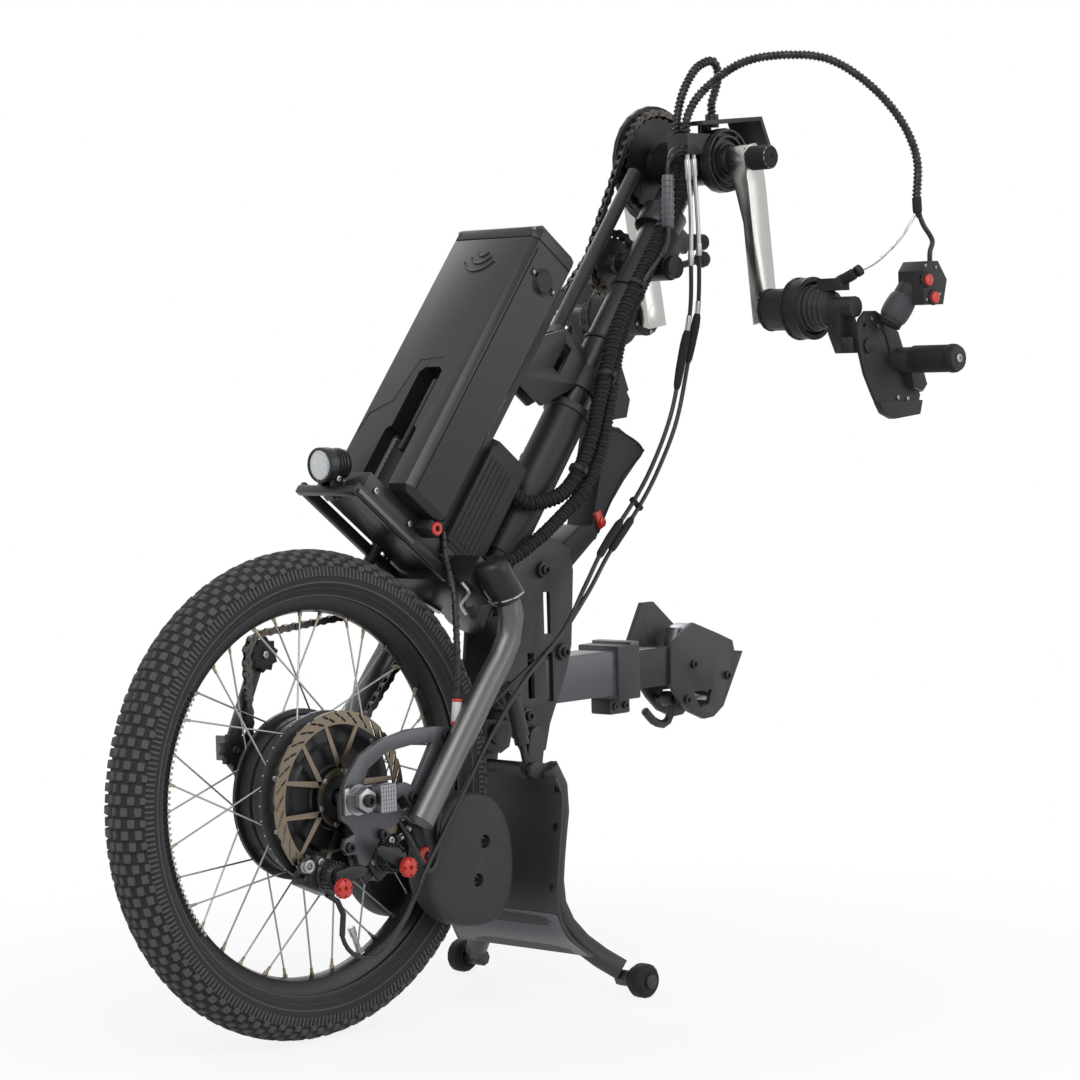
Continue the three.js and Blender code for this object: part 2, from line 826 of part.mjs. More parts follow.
// The spokes meet one thin hoop of nipples on the inside of the rim
function spokes() {
  const hoop = rimInnerRadius - fitGap;
  const found = [turned([
    [hoop - nippleHeight, -nippleHeight],
    [hoop, -nippleHeight],
    [hoop, nippleHeight],
    [hoop - nippleHeight, nippleHeight],
  ], wheelSegments, tyreFlatHalfAngle)];
  const start = hubFlangeRadius + fitGap + spokeRadius;
  const end = hoop * Math.cos(tyreFlatHalfAngle) - nippleHeight / 2;
  for (let i = 0; i < spokeCount; i += 1) {
    const sideSign = i % 2 ? 1 : -1;
    const lay = Math.floor(i / 2) % 2 ? 1 : -1;
    const rimAngle = (2 * Math.PI * i) / spokeCount;
    const hubAngle = rimAngle + lay * spokeSlantShare;
    found.push(rod(
      [start * Math.cos(hubAngle), sideSign * hubFlangeHalfPitch, start * Math.sin(hubAngle)],
      [end * Math.cos(rimAngle), 0, end * Math.sin(rimAngle)],
      spokeRadius,
      spokeSides,
    ));
  }
  return found;
}

add(wheel, 'wheel_rim', turned(rimProfile, wheelSegments, tyreFlatHalfAngle), black);
add(wheel, 'spokes', join(spokes()), silver);

const flangeY = [
  hubFlangeHalfPitch - hubFlangeThickness / 2,
  hubFlangeHalfPitch + hubFlangeThickness / 2,
];
const hubProfile = [
  [hubBoreRadius, -hubLeftReach],
  [hubDiscMountRadius, -hubLeftReach],
  [hubDiscMountRadius, -hubStepY],
  [hubEndRadius, -hubStepY],
  [hubShellRadius, -hubShellHalfWidth],
  [hubShellRadius, -flangeY[1]],
  [hubFlangeRadius, -flangeY[1]],
  [hubFlangeRadius, -flangeY[0]],
  [hubShellRadius, -flangeY[0]],
  [hubShellRadius, flangeY[0]],
  [hubFlangeRadius, flangeY[0]],
  [hubFlangeRadius, flangeY[1]],
  [hubShellRadius, flangeY[1]],
  [hubEndRadius, hubRightReach],
  [hubBoreRadius, hubRightReach],
];
add(wheel, 'hub_motor', turned(hubProfile, wheelSegments * 0.5, 0), blackSteel);

function rotor() {
  const windows = [];
  const inner = rotorCentreRadius + rotorArmWidth;
  const outer = rotorRadius - rotorBandWidth;
  for (let i = 0; i < rotorArmCount; i += 1) {
    const pitch = (2 * Math.PI) / rotorArmCount;
    const at = (radius, share) => {
      const spare = rotorArmWidth / radius;
      const angle = pitch * i + spare / 2 + (pitch - spare) * share + rotorArmTwistShare * (radius / outer);
      return [radius * Math.cos(angle), radius * Math.sin(angle)];
    };
    windows.push([at(inner, 0), ...rotorRimShares.map((share) => at(outer, share)), at(inner, 1)]);
  }
  windows.push(circle([0, 0], hubBoreRadius + fitGap, mediumSides));
  return slab(
    circle([0, 0], rotorRadius, guardSegments),
    [rotorY - rotorThickness / 2, rotorY + rotorThickness / 2],
    windows,
  );
}

add(wheel, 'brake_rotor', rotor(), silver);

const cassetteBody = turned([
  [hubBoreRadius, cassetteY[0]],
  [freehubRadius, cassetteY[0]],
  [freehubRadius, cassetteY[4]],
  [hubBoreRadius, cassetteY[4]],
], fineSides);
add(wheel, 'cassette', join(
  cassetteBody,
  cut(
    gear(cassetteRadii[0], cassetteToothCount, [cassetteY[1], cassetteY[2]]),
    rod([0, cassetteY[0], 0], [0, cassetteY[2] + cassetteY[0], 0], freehubRadius - fitGap),
  ),
  cut(
    gear(
      cassetteRadii[1],
      sprocketToothCount,
      [cassetteY[3], cassetteY[3] + cassetteY[2] - cassetteY[1]],
    ),
    rod([0, cassetteY[0], 0], [0, cassetteY[4], 0], freehubRadius - fitGap),
  ),
), greyMetal);

const torquePlates = [-1, 1].map((side) => block(
  [torquePlateShift - torquePlateSize[0] / 2, torquePlateShift + torquePlateSize[0] / 2],
  [
    plateOuterY + fitGap,
    plateOuterY + fitGap + torquePlateThickness,
  ].map((y) => y * side).sort((a, b) => a - b),
  [-torquePlateSize[1] / 2, torquePlateSize[1] / 2],
));
add(wheel, 'axle', join(
  rod([0, -axleHalfLength, 0], [0, axleHalfLength, 0], axleRadius, coarseSides),
  rod([0, -axleShoulderReach, 0], [0, axleShoulderReach, 0], axleShoulderRadius, mediumSides),
  rod([0, -axleNutOuter, 0], [0, -plateOuterY - fitGap, 0], axleNutRadius, nutSides),
  rod([0, plateOuterY + fitGap, 0], [0, axleNutOuter, 0], axleNutRadius, nutSides),
  torquePlates,
), silver);

// Steering: crown, blades and dropout plates
const crownBody = slab(
  [...crownOutline, ...crownOutline.map(([x, y]) => [x, -y]).reverse()],
  [crownLevels[0], crownLevels[1]],
).rotate([90, 0, 0]);
const steerer = turned([
  [0, crownNeckBottom],
  [crownNeckRadius, crownNeckBottom],
  [crownNeckRadius, crownTop],
  [steererRadius, crownTop],
  [steererRadius, steererStep],
  [steererTopRadius, steererStep],
  [steererTopRadius, steererTop],
  [steererBore, steererTop],
  [steererBore, steererBoreFoot],
  [0, steererBoreFoot],
], fineSides);
add(column, 'fork_crown', join(crownBody, upright(steerer)), black);

const bladeLeft = bar(bladePath.map(([x, z]) => [x, -bladeY, z]), bladeSection, tubeSides, bladeSteps);
add(column, 'fork_blade_left', bladeLeft, greyMetal);
add(column, 'fork_blade_right', mirrored(bladeLeft), greyMetal);

const plateLevels = [-plateOuterY, -plateInnerY];
const axleHole = circle([0, 0], plateAxleHoleRadius, coarseSides);
add(wheel, 'dropout_plate_left', slab(plateOutline, plateLevels, [plateWindow, axleHole]), greyMetal);
add(
  wheel,
  'dropout_plate_right',
  mirrored(slab(plainPlateOutline, plateLevels, [plateWindow, axleHole])),
  greyMetal,
);

function caliper([x, z]) {
  const radius = Math.hypot(x, z);
  const angle = Math.atan2(z, x);
  const inner = radius - caliperBlock[1] / 2;
  const outer = radius + caliperBlock[1] / 2;
  const half = caliperBlock[0] / 2;
  const drumAt = radius + caliperDrumShift;
  const body = join(
    block([inner, outer], caliperBlockY, [-half, half]),
    rod(
      [drumAt, caliperBlockY[0] + caliperSlotDepth / 2, 0],
      [drumAt, caliperDrumOuterY, 0],
      caliperDrumRadius,
      mediumSides,
    ),
    rod([drumAt, caliperDrumOuterY, 0], [drumAt, caliperKnobOuterY, 0], caliperKnobRadius, coarseSides),
  );
  const slot = block([0, inner + caliperSlotDepth], caliperSlotY, [-caliperBlock[0], caliperBlock[0]]);
  return cut(body, slot).rotate([0, THREE.MathUtils.radToDeg(-angle), 0]);
}

add(wheel, 'caliper_front', caliper(caliperMiddles[0]), black);
add(wheel, 'caliper_rear', caliper(caliperMiddles[1]), black);

const axlePlace = new THREE.Group();
axlePlace.name = 'axle_place';
axlePlace.position.x = axleX;
part.add(axlePlace);
const ballastLevels = [-ballastY[1], -ballastY[0]];
const ballast = cut(
  join(
    slab(ballastOutline, ballastLevels),
    slab(ballastTongueOutline, [-ballastTongueY[1], -ballastTongueY[0]]),
  ),
  ballastBoltSpots.map((spot) => disc(
    spot,
    ballastBoltRadius,
    [-ballastY[1] - ballastBoltDepth, ballastBoltDepth - ballastY[1]],
  )),
);
add(axlePlace, 'ballast_left', ballast, ballastPaint);
add(axlePlace, 'ballast_right', mirrored(ballast), ballastPaint);

// Column
const columnTube = upright(turned([
  [columnBore, columnBottom],
  [columnRadius, columnBottom],
  [columnRadius, columnTop],
  [columnBore, columnTop],
], fineSides));
const middleStub = join(
  rod([0, columnBore, middleAxisZ], [0, middleBossReach, middleAxisZ], middleBossRadius, mediumSides),
  rod([0, columnRadius, middleAxisZ], [0, middleNutY[1], middleAxisZ], middleStubRadius, coarseSides),
  rod([0, middleNutY[0], middleAxisZ], [0, middleNutY[1], middleAxisZ], middleNutRadius, nutSides),
);
const columnHollow = rod(
  [0, 0, columnBottom - columnRadius],
  [0, 0, columnTop + columnRadius],
  columnBore,
  fineSides,
);
add(column, 'column_tube', join(columnTube, cut(middleStub, columnHollow)), black);

const clampCollar = cut(
  join(
    rod([0, 0, clampCollarEnds[0]], [0, 0, clampCollarEnds[1]], clampCollarRadius, fineSides),
    rod(
      [shiftPivot[0], 0, shiftPivot[1]],
      [shiftPivot[0], shiftBossY, shiftPivot[1]],
      shiftBossRadius,
      mediumSides,
    ),
    block(
      [0, shiftPivot[0] + shiftBossRadius / 2],
      [-clampCollarRadius, -clampCollarBore],
      [shiftPivot[1], clampCollarEnds[0] + fitGap],
    ),
    block(
      [columnRadius, clampLeverPivot[0] + clampEarSize[0]],
      [-clampEarSize[1], clampEarSize[1]],
      [clampLeverPivot[1] - clampEarSize[2] / 2, clampLeverPivot[1] + clampEarSize[2] / 2],
    ),
  ),
  rod(
    [0, 0, shiftPivot[1] - clampCollarRadius],
    [0, 0, clampCollarEnds[1] + columnRadius],
    clampCollarBore,
    fineSides,
  ),
  rod(
    [shiftPivot[0], shiftBossY - shiftPinDepth, shiftPivot[1]],
    [shiftPivot[0], shiftBossY + shiftPinDepth + fitGap, shiftPivot[1]],
    shiftPinRadius + fitGap,
  ),
  block(
    [clampLeverPivot[0] - clampLeverEye - fitGap, clampLeverPivot[0] + 2 * clampEarSize[0]],
    [-clampLeverHalf - fitGap, clampLeverHalf + fitGap],
    [clampLeverPivot[1] - clampEarSize[2], clampLeverPivot[1] + clampEarSize[2]],
  ),
  rod(
    [clampLeverPivot[0], -clampLeverPinReach - fitGap, clampLeverPivot[1]],
    [clampLeverPivot[0], clampLeverPinReach + fitGap, clampLeverPivot[1]],
    clampLeverPin + fitGap,
  ),
);
add(column, 'column_clamp', clampCollar, black);

// Each slotted bracket cheek joins a band round the column
const bracketBand = cut(
  rod([0, 0, bracketBandEnds[0]], [0, 0, bracketBandEnds[1]], bracketBandRadius, fineSides),
  rod(
    [0, 0, bracketBandEnds[0] - columnRadius],
    [0, 0, bracketBandEnds[1] + columnRadius],
    clampCollarBore,
    fineSides,
  ),
);
const slotX = [bracketSlot[0] - bracketSlot[2] / 2, bracketSlot[0] + bracketSlot[2] / 2];
const slotZ = [bracketSlot[1] - bracketSlot[3] / 2, bracketSlot[1] + bracketSlot[3] / 2];
const slotOutline = [
  [slotX[0], slotZ[0]],
  [slotX[1], slotZ[0]],
  [slotX[1], slotZ[1]],
  [slotX[0], slotZ[1]],
];
const bracketCheek = slab(bracketPlateOutline, bracketPlateY, [slotOutline]);
const stayBridge = block(
  [stayTubeLocalX - stayTubeRadius, stayTubeLocalX + stayTubeRadius],
  [bracketPlateY[0], stayTubeY + stayTubeRadius],
  stayBridgeZ,
);
const stayTube = cut(
  rod(
    [stayTubeLocalX, stayTubeY, stayBridgeZ[0]],
    [stayTubeLocalX, stayTubeY, stayTubeTop],
    stayTubeRadius,
  ),
  rod(
    [stayTubeLocalX, stayTubeY, stayTubeTop - stayTubeBoreDepth],
    [stayTubeLocalX, stayTubeY, stayTubeTop + stayTubeRadius],
    stayTubeBore,
  ),
);
add(column, 'column_bracket', cut(
  join(bracketBand, bracketCheek, mirrored(bracketCheek), stayBridge, stayTube),
  rod(
    [0, 0, bracketBandEnds[0] - columnRadius],
    [0, 0, bracketBandEnds[1] + columnRadius],
    clampCollarBore,
    fineSides,
  ),
), black);

// Battery, tray and controller
function boxed(span, halfWidth, edge) {
  const [x0, x1, z0, z1] = span;
  const outline = [
    [x0 + edge, -halfWidth], [x1, -halfWidth], [x1, halfWidth],
    [x0 + edge, halfWidth], [x0, halfWidth - edge], [x0, edge - halfWidth],
  ];
  return slab(outline, [z0, z1]).rotate([90, 0, 0]);
}

const recessX = [batterySpan[0] - batteryRecess[1], batterySpan[0] + batteryRecess[1]];
const recessY = [
  batteryRecessMiddle[0] - batteryRecess[0] / 2,
  batteryRecessMiddle[0] + batteryRecess[0] / 2,
];
const recessZ = [
  batteryRecessMiddle[1] - batteryRecess[2] / 2,
  batteryRecessMiddle[1] + batteryRecess[2] / 2,
];
add(column, 'battery_case', join(
  cut(boxed(batterySpan, batteryHalfWidth, batteryEdge), block(recessX, recessY, recessZ)),
  disc(portSpot, portRadius, [-batteryHalfWidth - portHeight, batteryEdge - batteryHalfWidth], mediumSides),
), blackSteel);

const slipperLocal = localPoint([axleX + slipperMiddle[0], axleHeight + slipperMiddle[1]]);
const lugPivot = localPoint([headlightPivot[0], headlightPivot[1]]);
add(column, 'battery_tray', cut(
  join(
    block(trayFloorSpan.slice(0, 2), [-trayHalfWidth, trayHalfWidth], trayFloorSpan.slice(2)),
    block(railSpan.slice(0, 2), [-railHalfWidth, railHalfWidth], railSpan.slice(2)),
    rod(
      [trayStayTop[0], trayStayY, trayStayTop[1]],
      [slipperLocal[0], trayStayY, slipperLocal[1]],
      trayStayRadius,
      coarseSides,
    ),
    disc(slipperLocal, slipperRadius, slipperY, mediumSides),
    slab(headlightLug, [-headlightLugHalfWidth, headlightLugHalfWidth]),
  ),
  disc(lugPivot, headlightLugBore, [-trayHalfWidth, trayHalfWidth]),
), black);

add(column, 'controller_box', boxed(controllerSpan, controllerHalfWidth, controllerEdge), plastic);

const lightEnd = headlightFront[0] + headlightLength;
const cheek = slab(headlightCheek, headlightCheekY);
add(part, 'headlight', join(
  rod(
    [headlightFront[0] + headlightLensLength / 2, 0, headlightFront[1]],
    [lightEnd, 0, headlightFront[1]],
    headlightRadius,
    mediumSides,
  ),
  rod(
    [headlightFront[0], 0, headlightFront[1]],
    [headlightFront[0] + headlightLensLength, 0, headlightFront[1]],
    headlightLensRadius,
    mediumSides,
  ),
  cheek,
  mirrored(cheek),
  disc(headlightPivot, headlightPinRadius, [-headlightCheekY[1], headlightCheekY[1]]),
), black);

// Crank housing on top of the column
const housingProfile = [
  [bracketSeatBore, bracketShellY[0]],
  [bracketDiscRadius, bracketShellY[0]],
  [bracketDiscRadius, bracketShellY[0] + bracketDiscThickness],
  [bracketShellRadius, bracketShellY[0] + bracketDiscThickness],
  [bracketShellRadius, bracketShellY[1]],
  [bracketSeatBore, bracketShellY[1]],
  [bracketSeatBore, bracketShellY[1] - bracketSeatThickness],
  [bracketShellBore, bracketShellY[1] - bracketSeatThickness],
  [bracketShellBore, bracketShellY[0] + bracketSeatThickness],
  [bracketSeatBore, bracketShellY[0] + bracketSeatThickness],
];
const plug = cut(
  rod([0, 0, bracketPlugFoot - crankAxisLocalZ], [0, 0, -bracketShellBore], bracketPlugRadius, coarseSides),
  rod([0, -columnRadius, 0], [0, columnRadius, 0], bracketShellBore + fitGap, fineSides),
).rotate([0, columnLeanDegrees, 0]);
const glandSpot = loopPath[loopPath.length - 1].slice(0, 2);
add(crankPlace, 'crank_housing', join(
  turned(housingProfile, fineSides),
  plug,
  slab(bracketCoverSection, bracketCoverY),
  block(guideSpan, guideY, guideZ),
  rod([...glandSpot, bracketCoverSection[0][1]], [...glandSpot, loopGlandTop], loopGlandRadius),
  rod(
    [0, bracketCoverPost[2], bracketShellRadius - fitGap],
    [0, bracketCoverPost[2], bracketCoverPost[1]],
    bracketCoverPost[0],
    coarseSides,
  ),
), black);

// Chainring, spindle and cranks
const chainringWindows = Array.from({ length: chainringWindowCount }, (_, i) => {
  const angle = (2 * Math.PI * i) / chainringWindowCount;
  return circle(
    [chainringWindowPitch * Math.cos(angle), chainringWindowPitch * Math.sin(angle)],
    chainringWindowRadius,
    tubeSides,
  );
});
add(crankPlace, 'chainring', join(
  rod([0, -spindleHalfLength, 0], [0, spindleHalfLength, 0], spindleRadius, fineSides),
  rod([0, chainringBossY[0], 0], [0, chainringBossY[1], 0], chainringBossRadius, fineSides),
  slab(gearOutline([0, 0], chainringRadius, sprocketToothDepth, chainringToothCount), chainringY),
  slab(circle([0, 0], chainringGuardRadius, guardSegments), chainringGuardY, chainringWindows),
), black);

const armHalf = crankArmWidth / 2;
function crank(tools) {
  const foot = crankArmFootY.map((y, i) => [y, -crankLength - crankArmFootDrops[i]]);
  const outline = [...crankArmFront, ...foot, ...crankArmBack];
  const shape = new THREE.Shape(outline.map(([y, z]) => new THREE.Vector2(y, z)));
  const geometry = new THREE.ExtrudeGeometry(shape, { depth: crankArmWidth, bevelEnabled: false });
  geometry.applyMatrix4(new THREE.Matrix4().makeBasis(
    new THREE.Vector3(0, 1, 0),
    new THREE.Vector3(0, 0, 1),
    new THREE.Vector3(1, 0, 0),
  ));
  geometry.translate(-armHalf, 0, 0);
  return join(
    solid(geometry),
    rod([0, crankArmFront[0][0], 0], [0, crankArmFront[2][0], 0], crankEyeRadius),
    rod([0, crankArmFootY[1], -crankLength], [0, crankArmFootY[0], -crankLength], crankPinEyeRadius),
    rod(
      [0, crankArmFootY[0] + fitGap, -crankLength],
      [0, -crankPinReach, -crankLength],
      crankPinRadius,
      coarseSides,
    ),
    tools,
  ).rotate([0, -crankLagDegrees, 0]);
}

const bumper = cut(
  rod([0, crankArmFront[2][0], 0], [0, -bumperReach, 0], bumperRadius),
  rod(
    [0, bumperHoleDepth - bumperReach, 0],
    [0, -bumperReach - bumperHoleDepth, 0],
    bumperHoleRadius,
    tubeSides,
  ),
);
add(crankPlace, 'crank_left', crank([bumper]), silver);
add(crankPlace, 'crank_right', mirrored(crank([])), silver);

// Middle sprocket pair, jockey wheels, derailleur and chains
const middlePlace = new THREE.Group();
middlePlace.name = 'middle_place';
middlePlace.position.set(0, 0, middleAxisZ);
column.add(middlePlace);
add(middlePlace, 'middle_sprocket', cut(
  join(
    rod([0, middleHubY[0], 0], [0, middleHubY[1], 0], middleHubRadius, mediumSides),
    gear(middleRadius, sprocketToothCount, middleY),
    gear(middleRadius, sprocketToothCount, middleInnerY),
  ),
  rod([0, 0, 0], [0, middleNutY[1], 0], middleBore, coarseSides),
), greyMetal);

const jockeyNames = ['jockey_tension', 'jockey_guide'];
jockeyMiddles.forEach(([x, z], i) => {
  const body = cut(
    slab(
      gearOutline([0, 0], jockeyRadius, sprocketToothDepth, jockeyToothCount),
      [jockeyY - jockeyWidth / 2, jockeyY + jockeyWidth / 2],
    ),
    rod([0, 0, 0], [0, cageInnerFaceY, 0], jockeyBore, coarseSides),
  );
  const mesh = add(wheel, jockeyNames[i], body, plastic);
  mesh.position.set(x, 0, z);
});

function capsule([x0, z0], [x1, z1], half, levels) {
  const way = Math.atan2(z1 - z0, x1 - x0);
  const outline = [];
  for (const [x, z, start] of [[x1, z1, way - Math.PI / 2], [x0, z0, way + Math.PI / 2]]) {
    for (let k = 0; k <= capsuleSteps; k += 1) {
      const angle = start + (Math.PI * k) / capsuleSteps;
      outline.push([x + half * Math.cos(angle), z + half * Math.sin(angle)]);
    }
  }
  return slab(outline, levels);
}

add(wheel, 'derailleur', join(
  capsule(
    jockeyMiddles[0],
    jockeyMiddles[1],
    cageHalfWidth,
    [cageInnerFaceY, cageInnerFaceY + cagePlateThickness],
  ),
  jockeyMiddles.map((spot) => disc(
    spot,
    cagePinRadius,
    [jockeyY - jockeyWidth / 2, cageInnerFaceY + cagePlateThickness],
  )),
  slab(derailleurBodyOutline, derailleurBodyY),
), silver);

const middleWorld = columnPoint([0, middleAxisZ]);
const chainClear = chainToothGap + chainThickness / 2;
const middleWheel = [middleWorld[0] - axleX, middleWorld[1] - axleHeight, middleRadius + chainClear, 1];
const chainringWheel = [
  crankAxis[0] - axleX,
  crankAxis[1] - axleHeight,
  chainringRadius + chainClear,
  1,
];
const lowerWheels = [
  [0, 0, cassetteRadii[0] + chainClear, 1],
  middleWheel,
  [...slipperMiddle, slipperRadius + chainClear, -1],
  [...jockeyMiddles[0], jockeyRadius + chainClear, 1],
  [...jockeyMiddles[1], jockeyRadius + chainClear, -1],
];
const lowerChainY = (middleInnerY[0] + middleInnerY[1]) / 2;
const upperChainY = (middleY[0] + middleY[1]) / 2;
const chainLevels = (y) => [y - chainHalfWidth, y + chainHalfWidth];
add(wheel, 'chain_lower', chainBand(lowerWheels, chainArcSteps, chainLevels(lowerChainY)), greyMetal);
add(
  wheel,
  'chain_upper',
  chainBand([middleWheel, chainringWheel], chainArcSteps, chainLevels(upperChainY)),
  greyMetal,
);

// Grips turn on the crank pins
const hoopFoot = [...hoopMiddle, hoopZ[0]];
const hoopTop = [...hoopMiddle, hoopZ[1]];
const hoop = cut(
  rod(hoopFoot, hoopTop, hoopRadii[0], fineSides),
  rod(
    [...hoopMiddle, hoopZ[0] - hoopRadii[0]],
    [...hoopMiddle, hoopZ[1] + hoopRadii[0]],
    hoopRadii[1],
    fineSides,
  ),
  block(
    [hoopMiddle[0] - 2 * hoopRadii[0], hoopMiddle[0] + 2 * hoopRadii[0]],
    [hoopMiddle[1] - 2 * hoopRadii[0], gripProfile[10][1]],
    [hoopZ[0] - hoopRadii[0], hoopZ[1] + hoopRadii[0]],
  ),
);
const gripBody = join(
  turned(gripProfile, coarseSides),
  block(
    [-perchSize[0] / 2, perchSize[0] / 2],
    [perchMiddle[1] - perchSize[1] / 2, perchMiddle[1] + perchSize[1] / 2],
    [perchMiddle[2] - perchSize[2] / 2, perchMiddle[2] + perchSize[2] / 2],
  ),
  rod(perchBarrel[0], perchBarrel[1], perchBarrelRadius, coarseSides),
  slab(handleLugOutline, handleLugY),
  hoop,
  rod(
    [handlePivot[0], handleLugY[0], handlePivot[1]],
    [handlePivot[0], handlePinY, handlePivot[1]],
    handlePinRadius,
    coarseSides,
  ),
  rod(
    [handlePivot[0], handlePlateY[1] - fitGap, handlePivot[1]],
    [handlePivot[0], handlePinY, handlePivot[1]],
    handlePinHead,
    coarseSides,
  ),
);
add(gripPlace, 'grip_left', gripBody, black);
add(gripPlace, 'grip_right', mirrored(gripBody), black);

const switchY = [switchMiddle[1] - switchBoxDepth / 2, switchMiddle[1] + switchBoxDepth / 2];
const handleCore = join(
  slab(
    handlePlateOutline,
    handlePlateY,
    [
      handleSlot,
      circle(handlePivot, handlePinRadius + fitGap, coarseSides),
      circle(handleHole, handleHoleRadius, tubeSides),
    ],
  ),
  slab(handleLipOutline, [handlePlateY[0], handleLipY]),
  slab(handleGuardOutline, [handlePlateY[0], handleGuardY]),
  rod(handleStickFoot, handleStickTop, handleStickRadius, mediumSides),
  rod(
    [handleBarSpot[0], handlePlateY[1], handleBarSpot[1]],
    [handleBarSpot[0], handleBarReach, handleBarSpot[1]],
    handleBarRadius,
    mediumSides,
  ),
);
const buttonSpots = [-1, 1].map((side) => [
  switchMiddle[0] - side * buttonShift,
  switchMiddle[2] + side * buttonSpread,
]);
const switchBox = cut(
  slab(switchOutline, switchY),
  buttonSpots.map(([x, z]) => disc(
    [x, z],
    buttonRadius + fitGap,
    [switchY[0] - buttonSeatDepth, switchY[0] + buttonSeatDepth],
    mediumSides,
  )),
);
add(gripPlace, 'handle_left', join(
  handleCore,
  rod(handleStickTop, switchMiddle, handleStickNeck, mediumSides),
  switchBox,
), blackSteel);
add(gripPlace, 'handle_right', mirrored(join(
  handleCore,
  rod(handleStickTop, handleStickEnd, handleKnobRadius, mediumSides),
)), blackSteel);

const buttonNames = ['button_lower', 'button_upper'];
buttonSpots.forEach(([x, z], i) => {
  const mesh = add(
    gripPlace,
    buttonNames[i],
    rod([0, buttonSeatDepth - buttonTravel - fitGap, 0], [0, -buttonProud, 0], buttonRadius, mediumSides),
    redPlastic,
  );
  mesh.position.set(x, switchY[0], z);
});

// Levers on the column
const clampPlace = new THREE.Group();
clampPlace.name = 'clamp_place';
clampPlace.position.set(clampLeverPivot[0], 0, clampLeverPivot[1]);
clampPlace.rotation.y = -lean;
column.add(clampPlace);
add(clampPlace, 'clamp_lever', join(
  rod([clampLeverNeck, 0, 0], [clampLeverReach, 0, 0], clampLeverRadius, mediumSides),
  disc([0, 0], clampLeverEye, [-clampLeverHalf, clampLeverHalf]),
  block(
    [0, clampLeverNeck + clampLeverRadius], [-clampLeverHalf, clampLeverHalf],
    [-clampLeverHalf, clampLeverHalf],
  ),
  rod([0, -clampLeverPinReach, 0], [0, clampLeverPinReach, 0], clampLeverPin, coarseSides),
), rubber);

const shiftPlace = new THREE.Group();
shiftPlace.name = 'shift_place';
shiftPlace.position.set(shiftPivot[0], 0, shiftPivot[1]);
shiftPlace.rotation.y = -lean;
column.add(shiftPlace);
const shiftEyeInner = shiftBossY - fitGap;
const shiftMiddleY = shiftEyeInner - shiftEyeThickness / 2;
add(shiftPlace, 'shift_lever', join(
  rod([0, shiftEyeInner, 0], [0, shiftEyeInner - shiftEyeThickness, 0], shiftEyeRadius, mediumSides),
  rod([0, shiftMiddleY, 0], [0, shiftBossY + shiftPinDepth, 0], shiftPinRadius, coarseSides),
  rod([0, shiftMiddleY, 0], [shiftReach, shiftMiddleY, shiftRise], shiftArmRadius, coarseSides),
  ball([shiftReach, shiftMiddleY, shiftRise], shiftBallRadius),
), blackSteel);

// Head tube and slotted frame plates
const seatLow = headTubeEnds[0] + headTubeSeatHeight;
const seatHigh = headTubeEnds[1] - headTubeSeatHeight;
const cupFoot = headTubeEnds[1] - headTubeCupHeight;
add(column, 'head_tube', upright(turned([
  [headTubeSeatBore, headTubeEnds[0]],
  [headTubeRadius, headTubeEnds[0]],
  [headTubeRadius, cupFoot],
  [headTubeCupRadius, cupFoot],
  [headTubeCupRadius, headTubeEnds[1]],
  [headTubeSeatBore, headTubeEnds[1]],
  [headTubeSeatBore, seatHigh],
  [headTubeBore, seatHigh],
  [headTubeBore, seatLow],
  [headTubeSeatBore, seatLow],
], fineSides)), black);

const frameOuterY = framePlateInnerY + framePlateThickness;
const framePlateLevels = [-frameOuterY, -framePlateInnerY];
const slotHoles = frameSlots.map(([x, z, wide, tall]) => [
  [x - wide / 2, z], [x + wide / 2, z], [x + wide / 2, z + tall], [x - wide / 2, z + tall],
]);
const pivotHole = circle(standPivot, standPinRadius + fitGap, mediumSides);
const spacerHoles = frameBoltSpots.map((spot) => circle(spot, frameSpacerRadius + fitGap, tubeSides));
const strutPin = rod(
  [strutTop[0], -frameOuterY + fitGap, strutTop[1]],
  [strutTop[0], strutY - strutEyeHalf - fitGap, strutTop[1]],
  strutPinRadius,
);
const framePlateLeft = slab(
  framePlateOutline,
  framePlateLevels,
  [...slotHoles, ...spacerHoles, pivotHole],
);
add(part, 'frame_plate_left', join(framePlateLeft, strutPin), black);
const spacers = frameBoltSpots.map((spot) => join(
  disc(spot, frameSpacerRadius, [-frameOuterY - fitGap - frameBoltHead, frameOuterY], tubeSides),
  disc(
    spot,
    frameBoltRadius,
    [-frameOuterY - fitGap - frameBoltHead, -frameOuterY - fitGap],
    tubeSides,
  ),
  disc(spot, frameBoltRadius, [frameOuterY - fitGap, frameOuterY + frameBoltHead], tubeSides),
));
add(part, 'frame_plate_right', join(
  mirrored(slab(framePlateOutline, framePlateLevels, [...slotHoles, pivotHole])),
  spacers,
), black);

add(part, 'rear_cover', join(
  slab(rearCoverOutline, [-rearCoverHalfWidth, rearCoverHalfWidth]),
  slab(rearCoverLug, [-rearCoverLugHalfWidth, rearCoverLugHalfWidth]),
), black);

// Docking arm
function squareTube(span, half, wall) {
  const outer = block(span, [-half, half], [dockAxisZ - half, dockAxisZ + half]);
  const inner = half - wall;
  const reach = [span[0] - half, span[1] + half];
  return cut(outer, block(reach, [-inner, inner], [dockAxisZ - inner, dockAxisZ + inner]));
}

